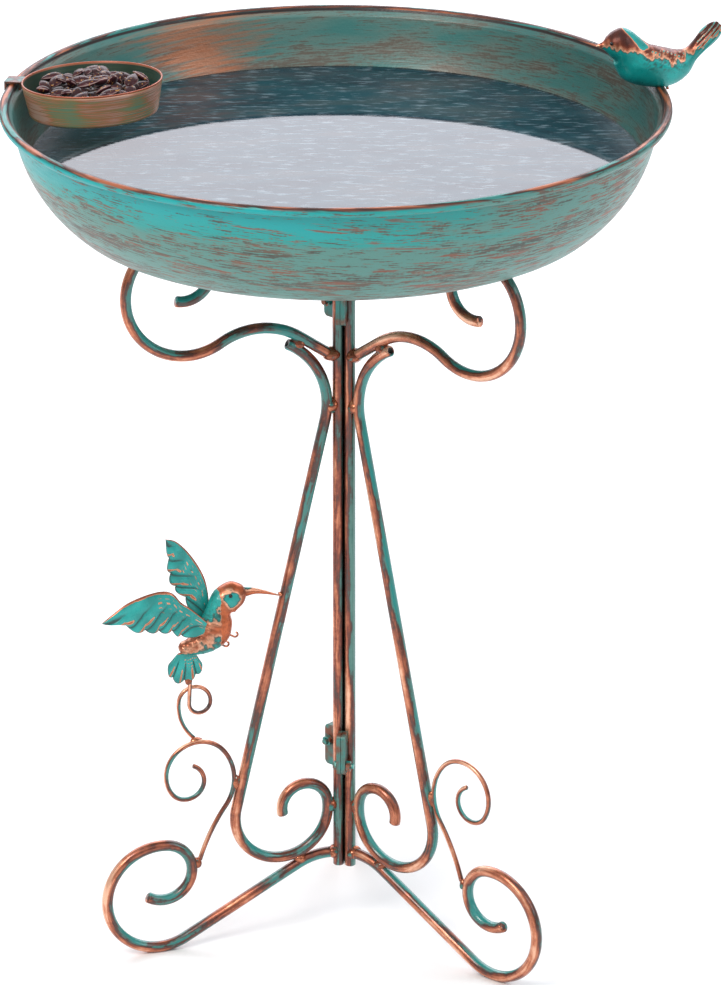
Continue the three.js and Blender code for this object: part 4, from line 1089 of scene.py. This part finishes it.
def support_wire():
    """The wire that carries the hummingbird: down from its tail, once round a small loop, to the filler."""
    route = bent_route(SUPPORT_START, SUPPORT_HEADING, SUPPORT_BENDS, 0.9)
    wire_piece("hummingbird_support_wire", route, SUPPORT_DIAMETER / 2, 16, FILLER_PAINT, "left",
               drift=(HUMMINGBIRD_SIDE, -HUMMINGBIRD_SIDE))


# ---------------------------------------------------------------- stage
def area_light(name, place, aim, size, power, colour):
    """A soft rectangular light looking at a point."""
    data = bpy.data.lights.new(name, "AREA")
    data.shape = "RECTANGLE"
    data.size, data.size_y = size
    data.energy = power
    data.color = linear(colour)[:3]
    lamp = bpy.data.objects.new(name, data)
    bpy.context.scene.collection.objects.link(lamp)
    lamp.location = place
    away = np.asarray(aim) - np.asarray(place)
    lamp.rotation_euler = Vector(away).to_track_quat("-Z", "Y").to_euler()


def from_view(x, y, z):
    """A place given to the right, behind and above as the camera sees it, in metres in the row frame."""
    return turned(np.array([[x, y, z]]), STAND_SHIFT_ANGLE)[0]


FLOOR_HALF = 14.0  # metres, as all that stands round the bath
CAMERA_PLACE = (0.01495, -3.62117, 1.70443)
CAMERA_AIM = (0.01495, 0, 0.29335)
CAMERA_LENS = 314.47
LIGHTS = {  # place from the camera's view, height aimed at, size, power and colour
    "key": ((-1.3, -1.6, 2.2), 0.35, (1.0, 1.0), 34, "#fffaf4"),
    "fill": ((1.9, -0.9, 1.5), 0.35, (0.9, 1.4), 9, "#f4f8ff"),
    "back": ((0, 2.2, 1.6), 0.5, (3.6, 1.4), 48, "#f2eff8"),
}


def stage():
    """White floor, soft lights and the camera."""
    size = FLOOR_HALF
    data = bpy.data.meshes.new("floor")
    corners = [(-size, -size, 0), (size, -size, 0), (size, size, 0), (-size, size, 0)]
    data.from_pydata(corners, [], [(0, 1, 2, 3)])
    data.materials.append(floor_card())
    floor = bpy.data.objects.new("floor", data)
    bpy.context.scene.collection.objects.link(floor)

    world = bpy.data.worlds.new("studio")
    world.use_nodes = True
    bpy.context.scene.world = world
    tree = world.node_tree
    sky = add(tree, "TexCoord", output="Generated")
    upward = add(tree, "SeparateXYZ", {0: sky}, output=2)
    glow = add(tree, "MapRange", {0: upward, 1: 0.0, 2: 0.9, 3: 0.28, 4: 1.15})
    tree.links.new(glow, tree.nodes["Background"].inputs["Strength"])
    tree.nodes["Background"].inputs["Color"].default_value = linear("#f4f5f7")
    for name, (place, aim_height, panel, power, colour) in LIGHTS.items():
        area_light(name, from_view(*place), (0, 0, aim_height), panel, power, colour)

    camera_data = bpy.data.cameras.new("camera")
    camera_data.sensor_fit = "HORIZONTAL"
    camera_data.sensor_width = 36.0
    camera_data.lens = CAMERA_LENS
    camera_data.clip_end = 60.0
    camera = bpy.data.objects.new("camera", camera_data)
    bpy.context.scene.collection.objects.link(camera)
    place, aim = from_view(*CAMERA_PLACE), from_view(*CAMERA_AIM)
    camera.location = place
    camera.rotation_euler = Vector(aim - place).to_track_quat("-Z", "Y").to_euler()
    bpy.context.scene.camera = camera
    bpy.context.scene.view_settings.view_transform = "Standard"


basin()
water()
seed_cup()
seeds()
legs()
welds()
songbird()
hummingbird_body()
hummingbird_wings()
support_wire()
stage()

for name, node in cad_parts.items():
    if name.endswith(("_bolt", "_nut")):
        finish = FASTENER_PAINT
    elif "_tab_of_" in name:
        finish = PLATE_PAINT
    elif name == "seed_cup_hook":
        finish = HOOK_PAINT
    elif name.endswith("_foot") and "bird" in name:
        finish = WELD_METAL
    else:
        continue
    node.data.materials.clear()
    node.data.materials.append(finish)
